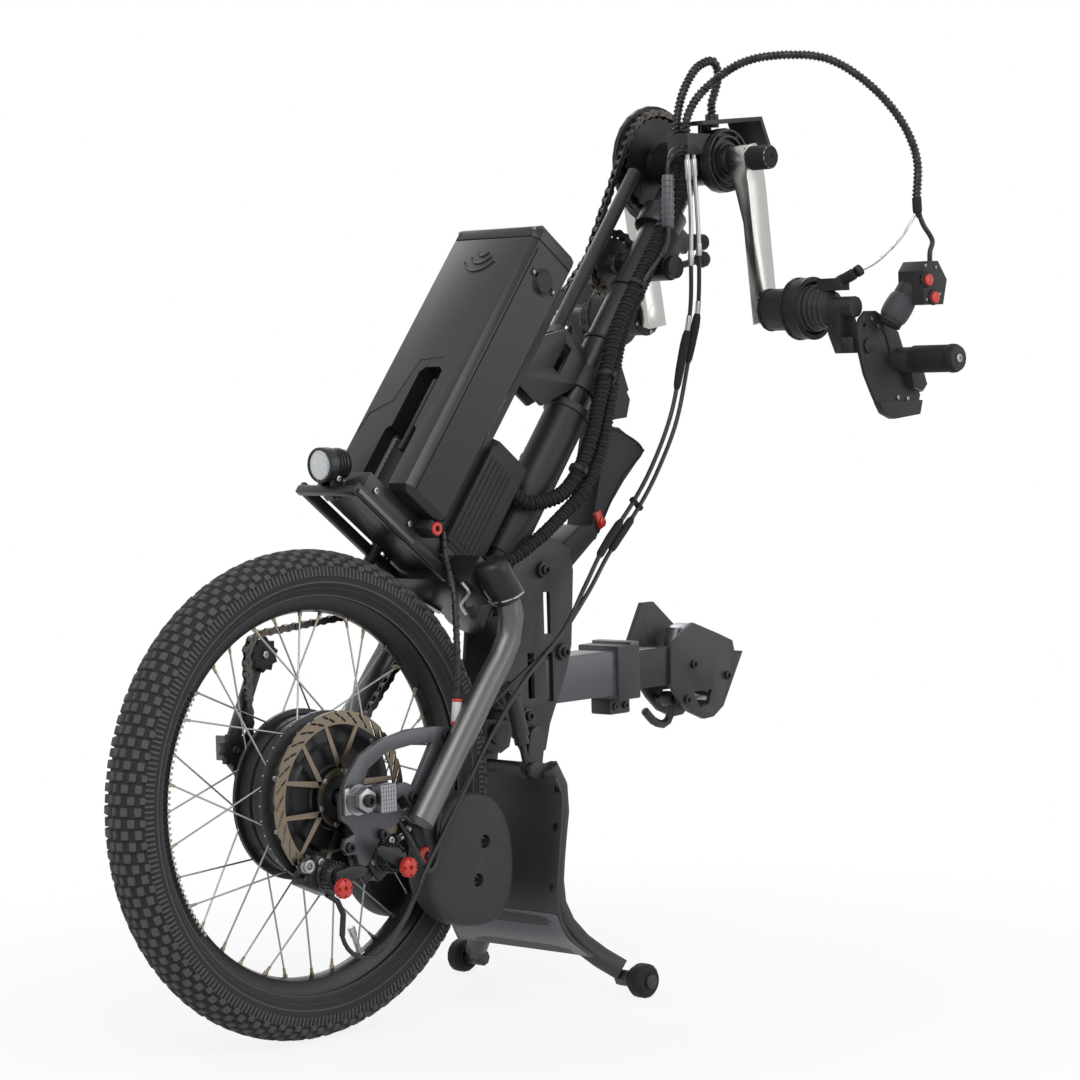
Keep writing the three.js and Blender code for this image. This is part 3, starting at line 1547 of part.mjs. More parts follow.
const collarSeat = dockTubeHalf - fitGap;
const collarWiper = innerTubeHalf + fitGap;
const collarTop = dockAxisZ + collarHalf;
const collarFoot = dockAxisZ - collarHalf;
const clampCollarBody = cut(
  join(
    block(collarSpan, [-collarHalf, collarHalf], [collarFoot, collarTop]),
    block(
      [collarSpan[0] + collarBlockInset, collarSpan[1] - collarBlockInset],
      [-collarBlockHalfWidth, collarBlockHalfWidth],
      [collarFoot - collarBlockHeight, dockAxisZ],
    ),
    block(
      [collarSpan[1] + collarLip[0], collarSpan[1]],
      [-collarHalf, collarHalf],
      [dockAxisZ, collarTop + collarLip[1]],
    ),
  ),
  block(
    [collarSpan[0] - collarHalf, dockTubeSpan[1] - fitGap],
    [-collarSeat, collarSeat],
    [dockAxisZ - collarSeat, dockAxisZ + collarSeat],
  ),
  block(
    [collarSpan[0], collarSpan[1] + collarHalf],
    [-collarWiper, collarWiper],
    [dockAxisZ - collarWiper, dockAxisZ + collarWiper],
  ),
);
add(part, 'dock_outer_tube', join(squareTube(dockTubeSpan, dockTubeHalf, dockTubeWall), clampCollarBody), greyMetal);

const dockPlateLevels = [-innerTubeHalf - dockPlateThickness, fitGap - innerTubeHalf];
const dockBars = [
  ...dockCrossSpots.map((spot) => [spot, dockCrossRadius]),
  [latchPivot, latchPinRadius],
  [releasePivot, releasePinRadius],
];
add(part, 'dock_head', join(
  squareTube(innerTubeSpan, innerTubeHalf, innerTubeWall),
  slab(dockPlateNear, dockPlateLevels, [dockPlateWindow]),
  mirrored(slab(dockPlateFar, dockPlateLevels, [dockPlateWindow])),
  dockBars.map(([spot, radius]) => disc(
    spot,
    radius,
    [-innerTubeHalf - dockPlateThickness, innerTubeHalf + dockPlateThickness],
  )),
), black);

const latchMesh = add(part, 'dock_latch', slab(
  latchOutline,
  [-latchHalfWidth, latchHalfWidth],
  [circle([0, 0], latchPinRadius + fitGap, coarseSides)],
), silver);
latchMesh.position.set(latchPivot[0], 0, latchPivot[1]);

const releaseLine = releasePath.map(([x, z]) => [x - releasePivot[0], 0, z - releasePivot[1]]);
const releaseMesh = add(part, 'dock_release_lever', cut(
  join(
    disc([0, 0], releaseEyeRadius, [-releaseHalfWidth, releaseHalfWidth]),
    bar(releaseLine, releaseRadius, harnessSides, tubeSides),
  ),
  disc([0, 0], releasePinRadius + fitGap, [-2 * releaseHalfWidth, 2 * releaseHalfWidth]),
), black);
releaseMesh.position.set(releasePivot[0], 0, releasePivot[1]);

// Parking stand
const casterZ = casterRadius * Math.cos(Math.PI / mediumSides);
const standEyeOuter = -frameOuterY - fitGap - standEyeThickness;
const standWasherOuter = fitGap - framePlateInnerY;
const standHalf = join(
  bar(standPath.map(([y, x, z]) => [x, -y, z]), standTubeRadius, tubeSides, standSteps),
  capsule(standPivot, standCrossSpot, standEyeRadius, [standEyeOuter, -frameOuterY - fitGap]),
  rod(
    [standPivot[0], standEyeOuter, standPivot[1]],
    [standPivot[0], standPinInner, standPivot[1]],
    standPinRadius,
    mediumSides,
  ),
  rod(
    [standPivot[0], standWasherOuter, standPivot[1]],
    [standPivot[0], standPinInner, standPivot[1]],
    standWasherRadius,
    tubeSides,
  ),
  rod(
    [casterX, -casterBossRoot, casterZ],
    [casterX, fitGap - casterInnerY, casterZ],
    casterBossRadius,
    tubeSides,
  ),
  rod(
    [casterX, -casterBossRoot, casterZ],
    [casterX, -casterInnerY - casterWidth - fitGap - casterHeadThickness, casterZ],
    casterPinRadius,
  ),
  rod(
    [casterX, -casterInnerY - casterWidth - fitGap, casterZ],
    [casterX, -casterInnerY - casterWidth - fitGap - casterHeadThickness, casterZ],
    casterHeadRadius,
    tubeSides,
  ),
);
const strutLug = join(
  capsule(standCrossSpot, strutFoot, strutLugHalf, strutLugY),
  disc(strutFoot, strutPinRadius, [strutLugY[1], strutY + strutEyeHalf + fitGap]),
);
add(part, 'stand_legs', join(
  standHalf,
  mirrored(standHalf),
  disc(standCrossSpot, standCrossRadius, [-standPath[0][0], standPath[0][0]]),
  strutLug,
), black);

const standPlateFront = standPlateBack.map(([x, z]) => [x - standPlateThickness, z]).reverse();
const apronTop = standPlateBack[standPlateBack.length - 1];
function acrossPlate(outline, half) {
  return slab(outline, [-half, half]);
}
add(part, 'stand_plate', join(
  acrossPlate([...standPlateBack, ...standPlateFront], standPlateHalfWidth),
  acrossPlate([
    apronTop,
    standApronFoot,
    [standApronFoot[0] - standPlateThickness, standApronFoot[1] - standPlateThickness],
    [apronTop[0] - standPlateThickness, apronTop[1]],
  ], standApronHalfWidth),
), black);

const casterProfile = [
  [casterPinRadius + fitGap, 0],
  [casterRadius - casterEdge, 0],
  [casterRadius, casterEdge],
  [casterRadius, casterWidth - casterEdge],
  [casterRadius - casterEdge, casterWidth],
  [casterPinRadius + fitGap, casterWidth],
];
const casterLeft = turned(
  casterProfile.map(([radius, y]) => [radius, -casterInnerY - y]),
  mediumSides,
  Math.PI / mediumSides,
);
for (const [name, body] of [['caster_left', casterLeft], ['caster_right', mirrored(casterLeft)]]) {
  const mesh = add(part, name, body, rubber);
  mesh.position.set(casterX, 0, casterZ);
}

// Gas strut between the frame and the stand
const strutPlace = new THREE.Group();
strutPlace.name = 'strut_place';
strutPlace.position.set(strutTop[0], strutY, strutTop[1]);
const strutLength = Math.hypot(strutFoot[0] - strutTop[0], strutFoot[1] - strutTop[1]);
strutPlace.rotation.y = Math.atan2(strutTop[1] - strutFoot[1], strutFoot[0] - strutTop[0]);
part.add(strutPlace);
const strutEye = (x) => disc([x, 0], strutEyeRadius, [-strutEyeHalf, strutEyeHalf]);
const strutHole = (x, radius) => disc([x, 0], radius, [-2 * strutEyeHalf, 2 * strutEyeHalf]);
add(strutPlace, 'strut_cylinder', cut(
  join(
    strutEye(0),
    rod([strutCylinderSpan[0], 0, 0], [strutCylinderSpan[1], 0, 0], strutCylinderRadius, mediumSides),
  ),
  strutHole(0, strutPinRadius + fitGap),
  rod([strutRodStart - strutRodBore, 0, 0], [strutLength, 0, 0], strutRodBore),
), black);
const strutSlot = [[strutLength - strutSlotHalf, 0], [strutLength + strutSlotHalf, 0]];
add(strutPlace, 'strut_rod', cut(
  join(
    capsule(strutSlot[0], strutSlot[1], strutEyeRadius, [-strutEyeHalf, strutEyeHalf]),
    rod([strutRodStart, 0, 0], [strutLength - strutFootBore - strutSlotHalf, 0, 0], strutRodRadius),
  ),
  capsule(strutSlot[0], strutSlot[1], strutFootBore, [-2 * strutEyeHalf, 2 * strutEyeHalf]),
), silver);

// Ribbed harness along the column
function harness() {
  const path = curve(harnessPath.map(([x, z, y]) => [x, y, z]));
  const ribCount = Math.round(path.getLength() / harnessRibPitch);
  const frames = path.computeFrenetFrames(ribCount * 2, false);
  const positions = [];
  const rings = [];
  const addRing = (share, radius) => {
    const middle = path.getPointAt(share);
    const slot = Math.min(ribCount * 2, Math.round(share * ribCount * 2));
    const start = positions.length / 3;
    for (let k = 0; k < harnessSides; k += 1) {
      const angle = (2 * Math.PI * k) / harnessSides;
      const spot = middle.clone()
        .addScaledVector(frames.normals[slot], radius * Math.cos(angle))
        .addScaledVector(frames.binormals[slot], radius * Math.sin(angle));
      positions.push(spot.x, spot.y, spot.z);
    }
    rings.push(start);
  };
  addRing(0, harnessRadius);
  for (let i = 0; i < ribCount; i += 1) {
    addRing((i + harnessRibShares[0]) / ribCount, i % 2 ? harnessRadius : harnessRibRadius);
    addRing((i + harnessRibShares[1]) / ribCount, i % 2 ? harnessRadius : harnessRibRadius);
  }
  addRing(1, harnessRadius);
  for (let i = ribCount; i >= 0; i -= harnessBoreSteps) {
    addRing(i / ribCount, harnessBore);
  }
  if (ribCount % harnessBoreSteps) {
    addRing(0, harnessBore);
  }
  const index = [];
  rings.forEach((from, i) => {
    const to = rings[(i + 1) % rings.length];
    for (let k = 0; k < harnessSides; k += 1) {
      const next = (k + 1) % harnessSides;
      index.push(from + k, from + next, to + next, from + k, to + next, to + k);
    }
  });
  const geometry = new THREE.BufferGeometry();
  geometry.setAttribute('position', new THREE.Float32BufferAttribute(positions, 3));
  geometry.setIndex(index);
  return solid(geometry);
}

add(column, 'wiring_harness', harness(), rubber);

// Brake cables, joined where one clip holds both
const onColumn = (points) => points.map(([x, z, y]) => [x, y, z]);
const clipEnds = onColumn(cableClipEnds);
add(column, 'brake_cables', join(
  bar(onColumn(rearBrakePath), brakeCableRadius, harnessSides, brakeCableSteps[0]),
  bar(onColumn(frontBrakePath), brakeCableRadius, harnessSides, brakeCableSteps[1]),
  rod(clipEnds[0], clipEnds[1], cableClipRadius, harnessSides),
), rubber);

const fromCrank = ([x, y, z]) => [x + gripPin[0] - crankAxis[0], y, z + gripPin[1] - crankAxis[1]];
const archPath = [...archRise, ...archFall.map(fromCrank)];
add(crankPlace, 'cable_arch', bar(archPath, archRadius, harnessSides, archSteps), rubber);
add(crankPlace, 'cable_loop', bar(loopPath, archRadius, harnessSides, loopSteps), rubber);
add(gripPlace, 'cable_leads', join(
  bar(switchLeadPath, leadRadius, harnessSides, leadSteps),
  bar(perchLeadPath, leadRadius, harnessSides, leadSteps),
), rubber);

// The origin lies on the floor under the middle of the whole length
part.position.x = originShiftX;

export default part;
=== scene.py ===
"""Looks of the clip-on handcycle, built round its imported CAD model."""
import json
import math

import bmesh
import bpy
from mathutils import Matrix, Vector

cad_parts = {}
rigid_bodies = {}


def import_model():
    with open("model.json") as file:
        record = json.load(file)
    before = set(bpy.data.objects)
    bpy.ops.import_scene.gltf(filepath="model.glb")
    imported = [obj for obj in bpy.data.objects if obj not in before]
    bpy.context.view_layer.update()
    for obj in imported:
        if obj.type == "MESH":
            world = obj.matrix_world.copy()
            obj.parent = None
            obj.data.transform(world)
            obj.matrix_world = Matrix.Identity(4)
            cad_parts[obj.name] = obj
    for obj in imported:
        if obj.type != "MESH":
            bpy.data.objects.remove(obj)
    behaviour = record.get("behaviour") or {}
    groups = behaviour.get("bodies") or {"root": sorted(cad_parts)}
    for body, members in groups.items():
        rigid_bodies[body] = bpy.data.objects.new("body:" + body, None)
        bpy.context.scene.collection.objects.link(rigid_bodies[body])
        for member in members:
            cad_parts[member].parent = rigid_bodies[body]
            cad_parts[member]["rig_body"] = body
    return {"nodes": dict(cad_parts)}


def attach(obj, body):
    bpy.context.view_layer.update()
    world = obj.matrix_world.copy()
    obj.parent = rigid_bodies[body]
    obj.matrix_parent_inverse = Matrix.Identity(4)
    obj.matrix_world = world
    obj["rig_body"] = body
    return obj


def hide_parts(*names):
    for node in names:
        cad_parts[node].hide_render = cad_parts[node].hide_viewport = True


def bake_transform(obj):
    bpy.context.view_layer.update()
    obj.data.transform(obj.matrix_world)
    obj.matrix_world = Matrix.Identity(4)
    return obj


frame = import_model()

bl_info = {
    "name": "Clip-on handcycle",
    "version": (1, 0, 0),
    "blender": (4, 5, 0),
    "location": "View3D > Sidebar > Handcycle",
    "description": "Builds the dressed handcycle, its floor, lights and camera",
    "category": "Add Mesh",
}

MM = 0.001
TURN = 2 * math.pi

# Places of the CAD model, in millimetres before the part is centred
CENTRE_SHIFT = -27.43
AXLE = (-229.0, 254.21)
COLUMN_DATUM = (158.0, 600.0)
COLUMN_LEAN = math.radians(38)
CRANK_Z = 404.0
CRANK_LENGTH = 175.0
CRANK_LAG = math.radians(8)


def from_column(x, z):
    """World X and Z in millimetres of a point on the leaning column."""
    c, s = math.cos(COLUMN_LEAN), math.sin(COLUMN_LEAN)
    return COLUMN_DATUM[0] + x * c + z * s, COLUMN_DATUM[1] - x * s + z * c


def place_at(x, z, tilt=0.0):
    """A piece's own frame: its origin in millimetres, turned about Y."""
    spot = Matrix.Translation(((x + CENTRE_SHIFT) * MM, 0, z * MM))
    return spot @ Matrix.Rotation(tilt, 4, "Y")


CRANK_AXIS = from_column(0, CRANK_Z)
GRIP_PIN = (CRANK_AXIS[0] + CRANK_LENGTH * math.sin(CRANK_LAG),
            CRANK_AXIS[1] - CRANK_LENGTH * math.cos(CRANK_LAG))
HERE = Matrix.Identity(4)
PART = place_at(0, 0)
WHEEL = place_at(*AXLE)
UNDER_WHEEL = place_at(AXLE[0], 0)
COLUMN = place_at(*COLUMN_DATUM, tilt=COLUMN_LEAN)
CRANK = place_at(*CRANK_AXIS)
GRIP = place_at(*GRIP_PIN)
SIDES = ((-1, "left"), (1, "right"))


def linear(code):
    """Turns an sRGB hex colour into the linear values that a shader takes."""
    shares = [int(code[i:i + 2], 16) / 255 for i in (1, 3, 5)]
    return tuple(s / 12.92 if s <= 0.04045 else ((s + 0.055) / 1.055) ** 2.4 for s in shares)


def colour(label, code):
    """A colour property that starts at one sRGB hex value."""
    return bpy.props.FloatVectorProperty(name=label, description=f"Colour of the {label.lower()}",
                                         subtype="COLOR", size=3, min=0, max=1, default=linear(code))


def length(label, value, low=0.0, high=2.0):
    """A length property in metres, given in millimetres."""
    return bpy.props.FloatProperty(name=label, description=f"{label} of the real piece", subtype="DISTANCE",
                                   unit="LENGTH", min=low, max=high, default=value * MM, precision=4)


def count(label, value, low, high):
    """A count property."""
    return bpy.props.IntProperty(name=label, description=f"{label} on the real piece",
                                 min=low, max=high, default=value)


class HandcycleColours(bpy.types.PropertyGroup):
    """Colours of the finishes."""

    tyre: colour("Tyre rubber", "#2b2b2d")
    anodised_black: colour("Black anodising", "#1a1b1d")
    powder_black: colour("Black powder coat", "#1f2023")
    case: colour("Battery case", "#1d1e20")
    moulding: colour("Black mouldings", "#222326")
    rubber: colour("Black rubber", "#1c1c1e")
    paint_grey: colour("Fork paint", "#5d5d5c")
    anodised_grey: colour("Grey anodising", "#505256")
    alloy: colour("Polished alloy", "#b4b3b0")
    steel: colour("Zinc plated steel", "#96979a")
    rotor: colour("Heat-tinted rotor", "#7b7062")
    chain: colour("Oiled chain", "#5a5652")
    red: colour("Red parts", "#c8362b")
    ballast: colour("Ballast paint", "#303134")


class HandcycleWheel(bpy.types.PropertyGroup):
    """Sizes of the front wheel."""

    knob_rows: count("Tread rows", 136, 40, 200)
    knob_height: length("Tread height", 3.2)
    spoke_count: count("Spokes", 36, 20, 48)
    spoke_width: length("Spoke width", 2.0)


class HandcycleCables(bpy.types.PropertyGroup):
    """Sizes of the cables and their sleeves."""

    rib_pitch: length("Harness rib pitch", 5.0)
    wrap_pitch: length("Spiral wrap pitch", 9.0)
    brake_width: length("Brake cable width", 5.0)


class HandcycleStage(bpy.types.PropertyGroup):
    """Floor, light and camera."""

    floor_size: length("Floor size", 24000, 1, 100)
    key_power: bpy.props.FloatProperty(name="Key light", description="Power of the main lamp in watts",
                                       default=72)
    fill_power: bpy.props.FloatProperty(name="Fill light", description="Power of the side lamp in watts",
                                        default=30)
    focal_length: bpy.props.FloatProperty(name="Lens", description="Focal length in millimetres",
                                          default=113.38)


# The camera that fits the photograph: its spot in metres, its right and its up
CAMERA_SPOT = (-2.62, -2.59982, 0.70187)
CAMERA_RIGHT = Vector((0.68834, -0.72479, -0.02953))
CAMERA_UP = Vector((0.05979, 0.01612, 0.99808))


# Meshes --------------------------------------------------------------------

def deselect():
    """Leaves nothing selected and no piece in edit mode."""
    if bpy.context.object and bpy.context.object.mode != "OBJECT":
        bpy.ops.object.mode_set(mode="OBJECT")
    bpy.ops.object.select_all(action="DESELECT")


def pick(*pieces):
    """Selects these pieces, with the first one active."""
    deselect()
    for piece in pieces:
        piece.select_set(True)
    bpy.context.view_layer.objects.active = pieces[0]
    return pieces[0]


def pointed(spot, way):
    """The place at a spot in metres whose Z axis runs along way."""
    return Matrix.Translation(spot) @ way.to_track_quat("Z", "Y").to_matrix().to_4x4()


def settle(piece):
    """Moves a piece's place, turn and size into its mesh."""
    pick(piece)
    bpy.ops.object.transform_apply(location=True, rotation=True, scale=True)
    return piece


def metres(point):
    """A point given in millimetres, in metres."""
    return Vector(point) * MM


def moved(place, x, y, z):
    """A place shifted by millimetres along its own axes."""
    return place @ Matrix.Translation((x * MM, y * MM, z * MM))


def spun(angle, axis="Y"):
    """A turn about one axis, in radians."""
    return Matrix.Rotation(angle, 4, axis)


def put(piece, place):
    """Moves a piece to a place and settles it there."""
    piece.matrix_world = place
    return settle(piece)


def shifted(piece, x, y, z):
    """Moves a piece by millimetres."""
    return put(piece, moved(HERE, x, y, z))


def spots_round(number, radius, y, start=0.0):
    """Even points on a circle round the Y axis."""
    angles = [TURN * k / number + start for k in range(number)]
    return [(radius * math.cos(a), y, radius * math.sin(a)) for a in angles]


def edit_all(piece):
    """Opens a piece in edit mode with all of it selected."""
    pick(piece)
    bpy.ops.object.mode_set(mode="EDIT")
    bpy.ops.mesh.select_all(action="SELECT")


def close_outward():
    """Turns all faces outwards and leaves edit mode."""
    bpy.ops.mesh.select_all(action="SELECT")
    bpy.ops.mesh.normals_make_consistent(inside=False)
    bpy.ops.object.mode_set(mode="OBJECT")


def apply_modifier(piece, kind, **settings):
    """Adds one modifier with its settings and applies it."""
    pick(piece)
    modifier = piece.modifiers.new(kind.title(), kind)
    for key, value in settings.items():
        setattr(modifier, key, value)
    bpy.ops.object.modifier_apply(modifier=modifier.name)
    return piece


def bevelled(piece, width, segments=2, angle=35):
    """Rounds the sharp edges of a piece by a width in millimetres."""
    return apply_modifier(piece, "BEVEL", width=width * MM, segments=segments, limit_method="ANGLE",
                          angle_limit=math.radians(angle), miter_outer="MITER_ARC")


def block(low, high, bevel=0.0, segments=2):
    """A rounded block between two corners in millimetres."""
    deselect()
    low, high = metres(low), metres(high)
    bpy.ops.mesh.primitive_cube_add(size=1, location=(low + high) / 2, scale=high - low)
    piece = settle(bpy.context.object)
    return bevelled(piece, bevel, segments) if bevel else piece


def rod(start, end, radius, sides=32, bevel=0.0, tip=None):
    """A round bar, or a cone when tip gives its far radius."""
    deselect()
    start, end = metres(start), metres(end)
    way = end - start
    far = radius if tip is None else tip
    bpy.ops.mesh.primitive_cone_add(vertices=sides, radius1=radius * MM, radius2=far * MM, depth=way.length)
    piece = put(bpy.context.object, pointed((start + end) / 2, way))
    return bevelled(piece, bevel) if bevel else piece


def ball(middle, radius, squash=(1, 1, 1)):
    """A rounded knob."""
    deselect()
    bpy.ops.mesh.primitive_uv_sphere_add(segments=24, ring_count=14, radius=radius * MM,
                                         location=metres(middle), scale=squash)
    return settle(bpy.context.object)


def outline_face(points):
    """One flat face with its corners at these points, in millimetres."""
    deselect()
    bpy.ops.mesh.primitive_circle_add(vertices=len(points), fill_type="NGON")
    piece = bpy.context.object
    for vertex, point in zip(piece.data.vertices, points):
        vertex.co = metres(point)
    return piece


def plate(outline, levels, bevel=0.0, segments=2):
    """A plate with an outline in X and Z between two Y levels, in millimetres."""
    low, high = min(levels), max(levels)
    piece = outline_face([(x, low, z) for x, z in outline])
    edit_all(piece)
    bpy.ops.mesh.extrude_region_move(TRANSFORM_OT_translate={"value": (0, (high - low) * MM, 0)})
    close_outward()
    return bevelled(piece, bevel, segments) if bevel else piece


def lathe(profile, steps=64, bevel=0.0):
    """A piece turned about its Y axis, from [radius, y] pairs in millimetres."""
    piece = outline_face([(radius, y, 0) for radius, y in profile])
    edit_all(piece)
    bpy.ops.mesh.delete(type="ONLY_FACE")
    bpy.ops.mesh.select_all(action="SELECT")
    bpy.ops.mesh.spin(steps=steps, angle=TURN, center=(0, 0, 0), axis=(0, 1, 0))
    bpy.ops.mesh.select_all(action="SELECT")
    bpy.ops.mesh.remove_doubles(threshold=1e-6)
    bpy.ops.mesh.dissolve_degenerate(threshold=1e-7)
    close_outward()
    shell = bmesh.new()
    shell.from_mesh(piece.data)
    loose = [e for e in shell.edges if len(e.link_faces) != 2]
    bmesh.ops.delete(shell, geom=loose, context="EDGES")
    shell.to_mesh(piece.data)
    shell.free()
    return bevelled(piece, bevel) if bevel else piece


def washer(inner, outer, start, end, steps, bevel=0.0):
    """A flat ring about the Y axis between two radii and two Y levels."""
    return lathe([(inner, start), (outer, start), (outer, end), (inner, end)], steps, bevel)


def smooth_path(points, steps):
    """Even points along the centripetal curve that the CAD cables follow."""
    spots = [Vector(p) for p in points]
    spots = [spots[0] * 2 - spots[1]] + spots + [spots[-1] * 2 - spots[-2]]
    fine = []
    for a, b, c, d in zip(spots, spots[1:], spots[2:], spots[3:]):
        gaps = [max((q - p).length ** 0.5, 1e-6) for p, q in ((a, b), (b, c), (c, d))]
        first = ((b - a) / gaps[0] - (c - a) / (gaps[0] + gaps[1]) + (c - b) / gaps[1]) * gaps[1]
        last = ((c - b) / gaps[1] - (d - b) / (gaps[1] + gaps[2]) + (d - c) / gaps[2]) * gaps[1]
        for k in range(24):
            t = k / 24
            fine.append(b * (2 * t ** 3 - 3 * t ** 2 + 1) + first * (t ** 3 - 2 * t ** 2 + t)
                        + c * (3 * t ** 2 - 2 * t ** 3) + last * (t ** 3 - t ** 2))
    fine.append(spots[-2])
    runs = [0.0]
    for p, q in zip(fine, fine[1:]):
        runs.append(runs[-1] + (q - p).length)
    even, at = [], 0
    for k in range(steps + 1):
        goal = runs[-1] * k / steps
        while at < len(runs) - 2 and runs[at + 1] < goal:
            at += 1
        share = (goal - runs[at]) / max(runs[at + 1] - runs[at], 1e-9)
        even.append(fine[at].lerp(fine[at + 1], min(1, max(0, share))))
    return even


def line_curve(points, radii, sides):
    """A bevelled curve object through these points, in millimetres."""
    deselect()
    bpy.ops.curve.primitive_nurbs_path_add()
    piece = bpy.context.object
    data = piece.data
    data.splines.clear()
    spline = data.splines.new("POLY")
    spline.points.add(len(points) - 1)
    widest = max(radii)
    for spot, point, radius in zip(spline.points, points, radii):
        spot.co = (*metres(point), 1)
        spot.radius = radius / widest
    data.bevel_depth = widest * MM
    data.bevel_resolution = max(0, sides // 4 - 1)
    data.use_fill_caps = True
    return piece


def tube(points, radius, sides=12, steps=None, radii=None):
    """A round tube of one or several radii along a smooth path."""
    line = smooth_path(points, steps) if steps else [Vector(p) for p in points]
    piece = line_curve(line, radii or [radius] * len(line), sides)
    pick(piece)
    bpy.ops.object.convert(target="MESH")
    piece = bpy.context.object
    edit_all(piece)
    bpy.ops.mesh.remove_doubles(threshold=1e-6)
    close_outward()
    return piece


def coil(points, radius, wire, pitch, sides=6):
    """A wire wound round a smooth path."""
    span = sum((Vector(q) - Vector(p)).length for p, q in zip(points, points[1:]))
    turns = span / pitch
    steps = int(turns * 10)
    line = smooth_path(points, steps)
    found, across = [], Vector((0, 1, 0))
    for k, spot in enumerate(line):
        way = (line[min(k + 1, steps)] - line[max(k - 1, 0)]).normalized()
        across = (across - way * across.dot(way)).normalized()
        other = way.cross(across)
        turn = TURN * turns * k / steps
        found.append(spot + across * radius * math.cos(turn) + other * radius * math.sin(turn))
    return tube(found, wire, sides)


def joined(*pieces):
    """Makes several pieces one."""
    pick(*pieces)
    if len(pieces) > 1:
        bpy.ops.object.join()
    return bpy.context.object


def cut(piece, *tools):
    """Takes these tools out of a piece."""
    tool = joined(*tools)
    apply_modifier(piece, "BOOLEAN", operation="DIFFERENCE", object=tool, solver="EXACT")
    bpy.data.objects.remove(tool)
    return piece


def copy_of(piece, matrix):
    """A copy with its own mesh, moved by a matrix."""
    pick(piece)
    bpy.ops.object.duplicate(linked=False)
    return put(bpy.context.object, matrix @ piece.matrix_world)


def repeated(piece, matrices):
    """One piece of the model and its copies, which replace it."""
    copies = [copy_of(piece, matrix) for matrix in matrices]
    bpy.data.objects.remove(piece)
    return joined(*copies)


def turned_copies(piece, number):
    """Copies of a piece all round the Y axis."""
    return repeated(piece, [spun(TURN * k / number) for k in range(number)])


def bolt_head(spot, way, radius=5.0, height=4.0):
    """A socket cap screw, its hexagon sunk, seated at a spot and facing along way."""
    spot, way = Vector(spot), Vector(way).normalized()
    deselect()
    bpy.ops.mesh.primitive_cylinder_add(vertices=24, radius=radius * MM, depth=height * MM)
    head = bpy.context.object
    bevelled(head, radius * 0.12, 2)
    bpy.ops.mesh.primitive_cylinder_add(vertices=6, radius=radius * 0.52 * MM, depth=height * MM,
                                        location=(0, 0, height * 0.55 * MM))
    cut(head, bpy.context.object)
    return put(head, pointed(metres(spot + way * height / 2), way))


def finished(piece, name, body, material, place=PART, replaces=(), smooth=35):
    """Joins a list, puts the piece in its place and gives it its finish and body."""
    if isinstance(piece, list):
        piece = joined(*piece)
    put(piece, place @ piece.matrix_world)
    piece.name = name
    piece.data.name = name
    piece.data.materials.clear()
    piece.data.materials.append(finishes[material])
    pick(piece)
    bpy.ops.object.shade_smooth_by_angle(angle=math.radians(smooth))
    if isinstance(body, tuple):
        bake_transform(piece)
    else:
        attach(piece, body)
    if replaces:
        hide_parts(*replaces)


def dressed(node, material, bevel, smooth):
    """A CAD node's own shape with rounded edges and a real finish."""
    source = frame["nodes"][node]
    piece = bpy.data.objects.new(node + "_finished", source.data.copy())
    bpy.context.scene.collection.objects.link(piece)
    edit_all(piece)
    bpy.ops.mesh.remove_doubles(threshold=2e-6)
    bpy.ops.mesh.dissolve_limited(angle_limit=math.radians(0.5))
    bpy.ops.object.mode_set(mode="OBJECT")
    if bevel:
        bevelled(piece, bevel, angle=smooth)
    finished(piece, node + "_finished", source["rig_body"], material, HERE, (node,), smooth)


# Materials -------------------------------------------------------------------

finishes = {}
WHITE = (1, 1, 1, 1)
ROOM_LIGHT = (0.4, 0.4, 0.41, 1)
# The floor is a little darker near the object: from and to in metres, and how dark
SHADE_REACH = (0.35, 1.0)
SHADE_LEVEL = 0.86


def add_node(tree, kind, settings=None, links=None):
    """Adds one node with its settings and its links."""
    node = tree.nodes.new(kind)
    for key, value in (settings or {}).items():
        if isinstance(key, int) or key in node.inputs:
            node.inputs[key].default_value = value
        else:
            setattr(node, key, value)
    for key, source in (links or {}).items():
        tree.links.new(source, node.inputs[key])
    return node


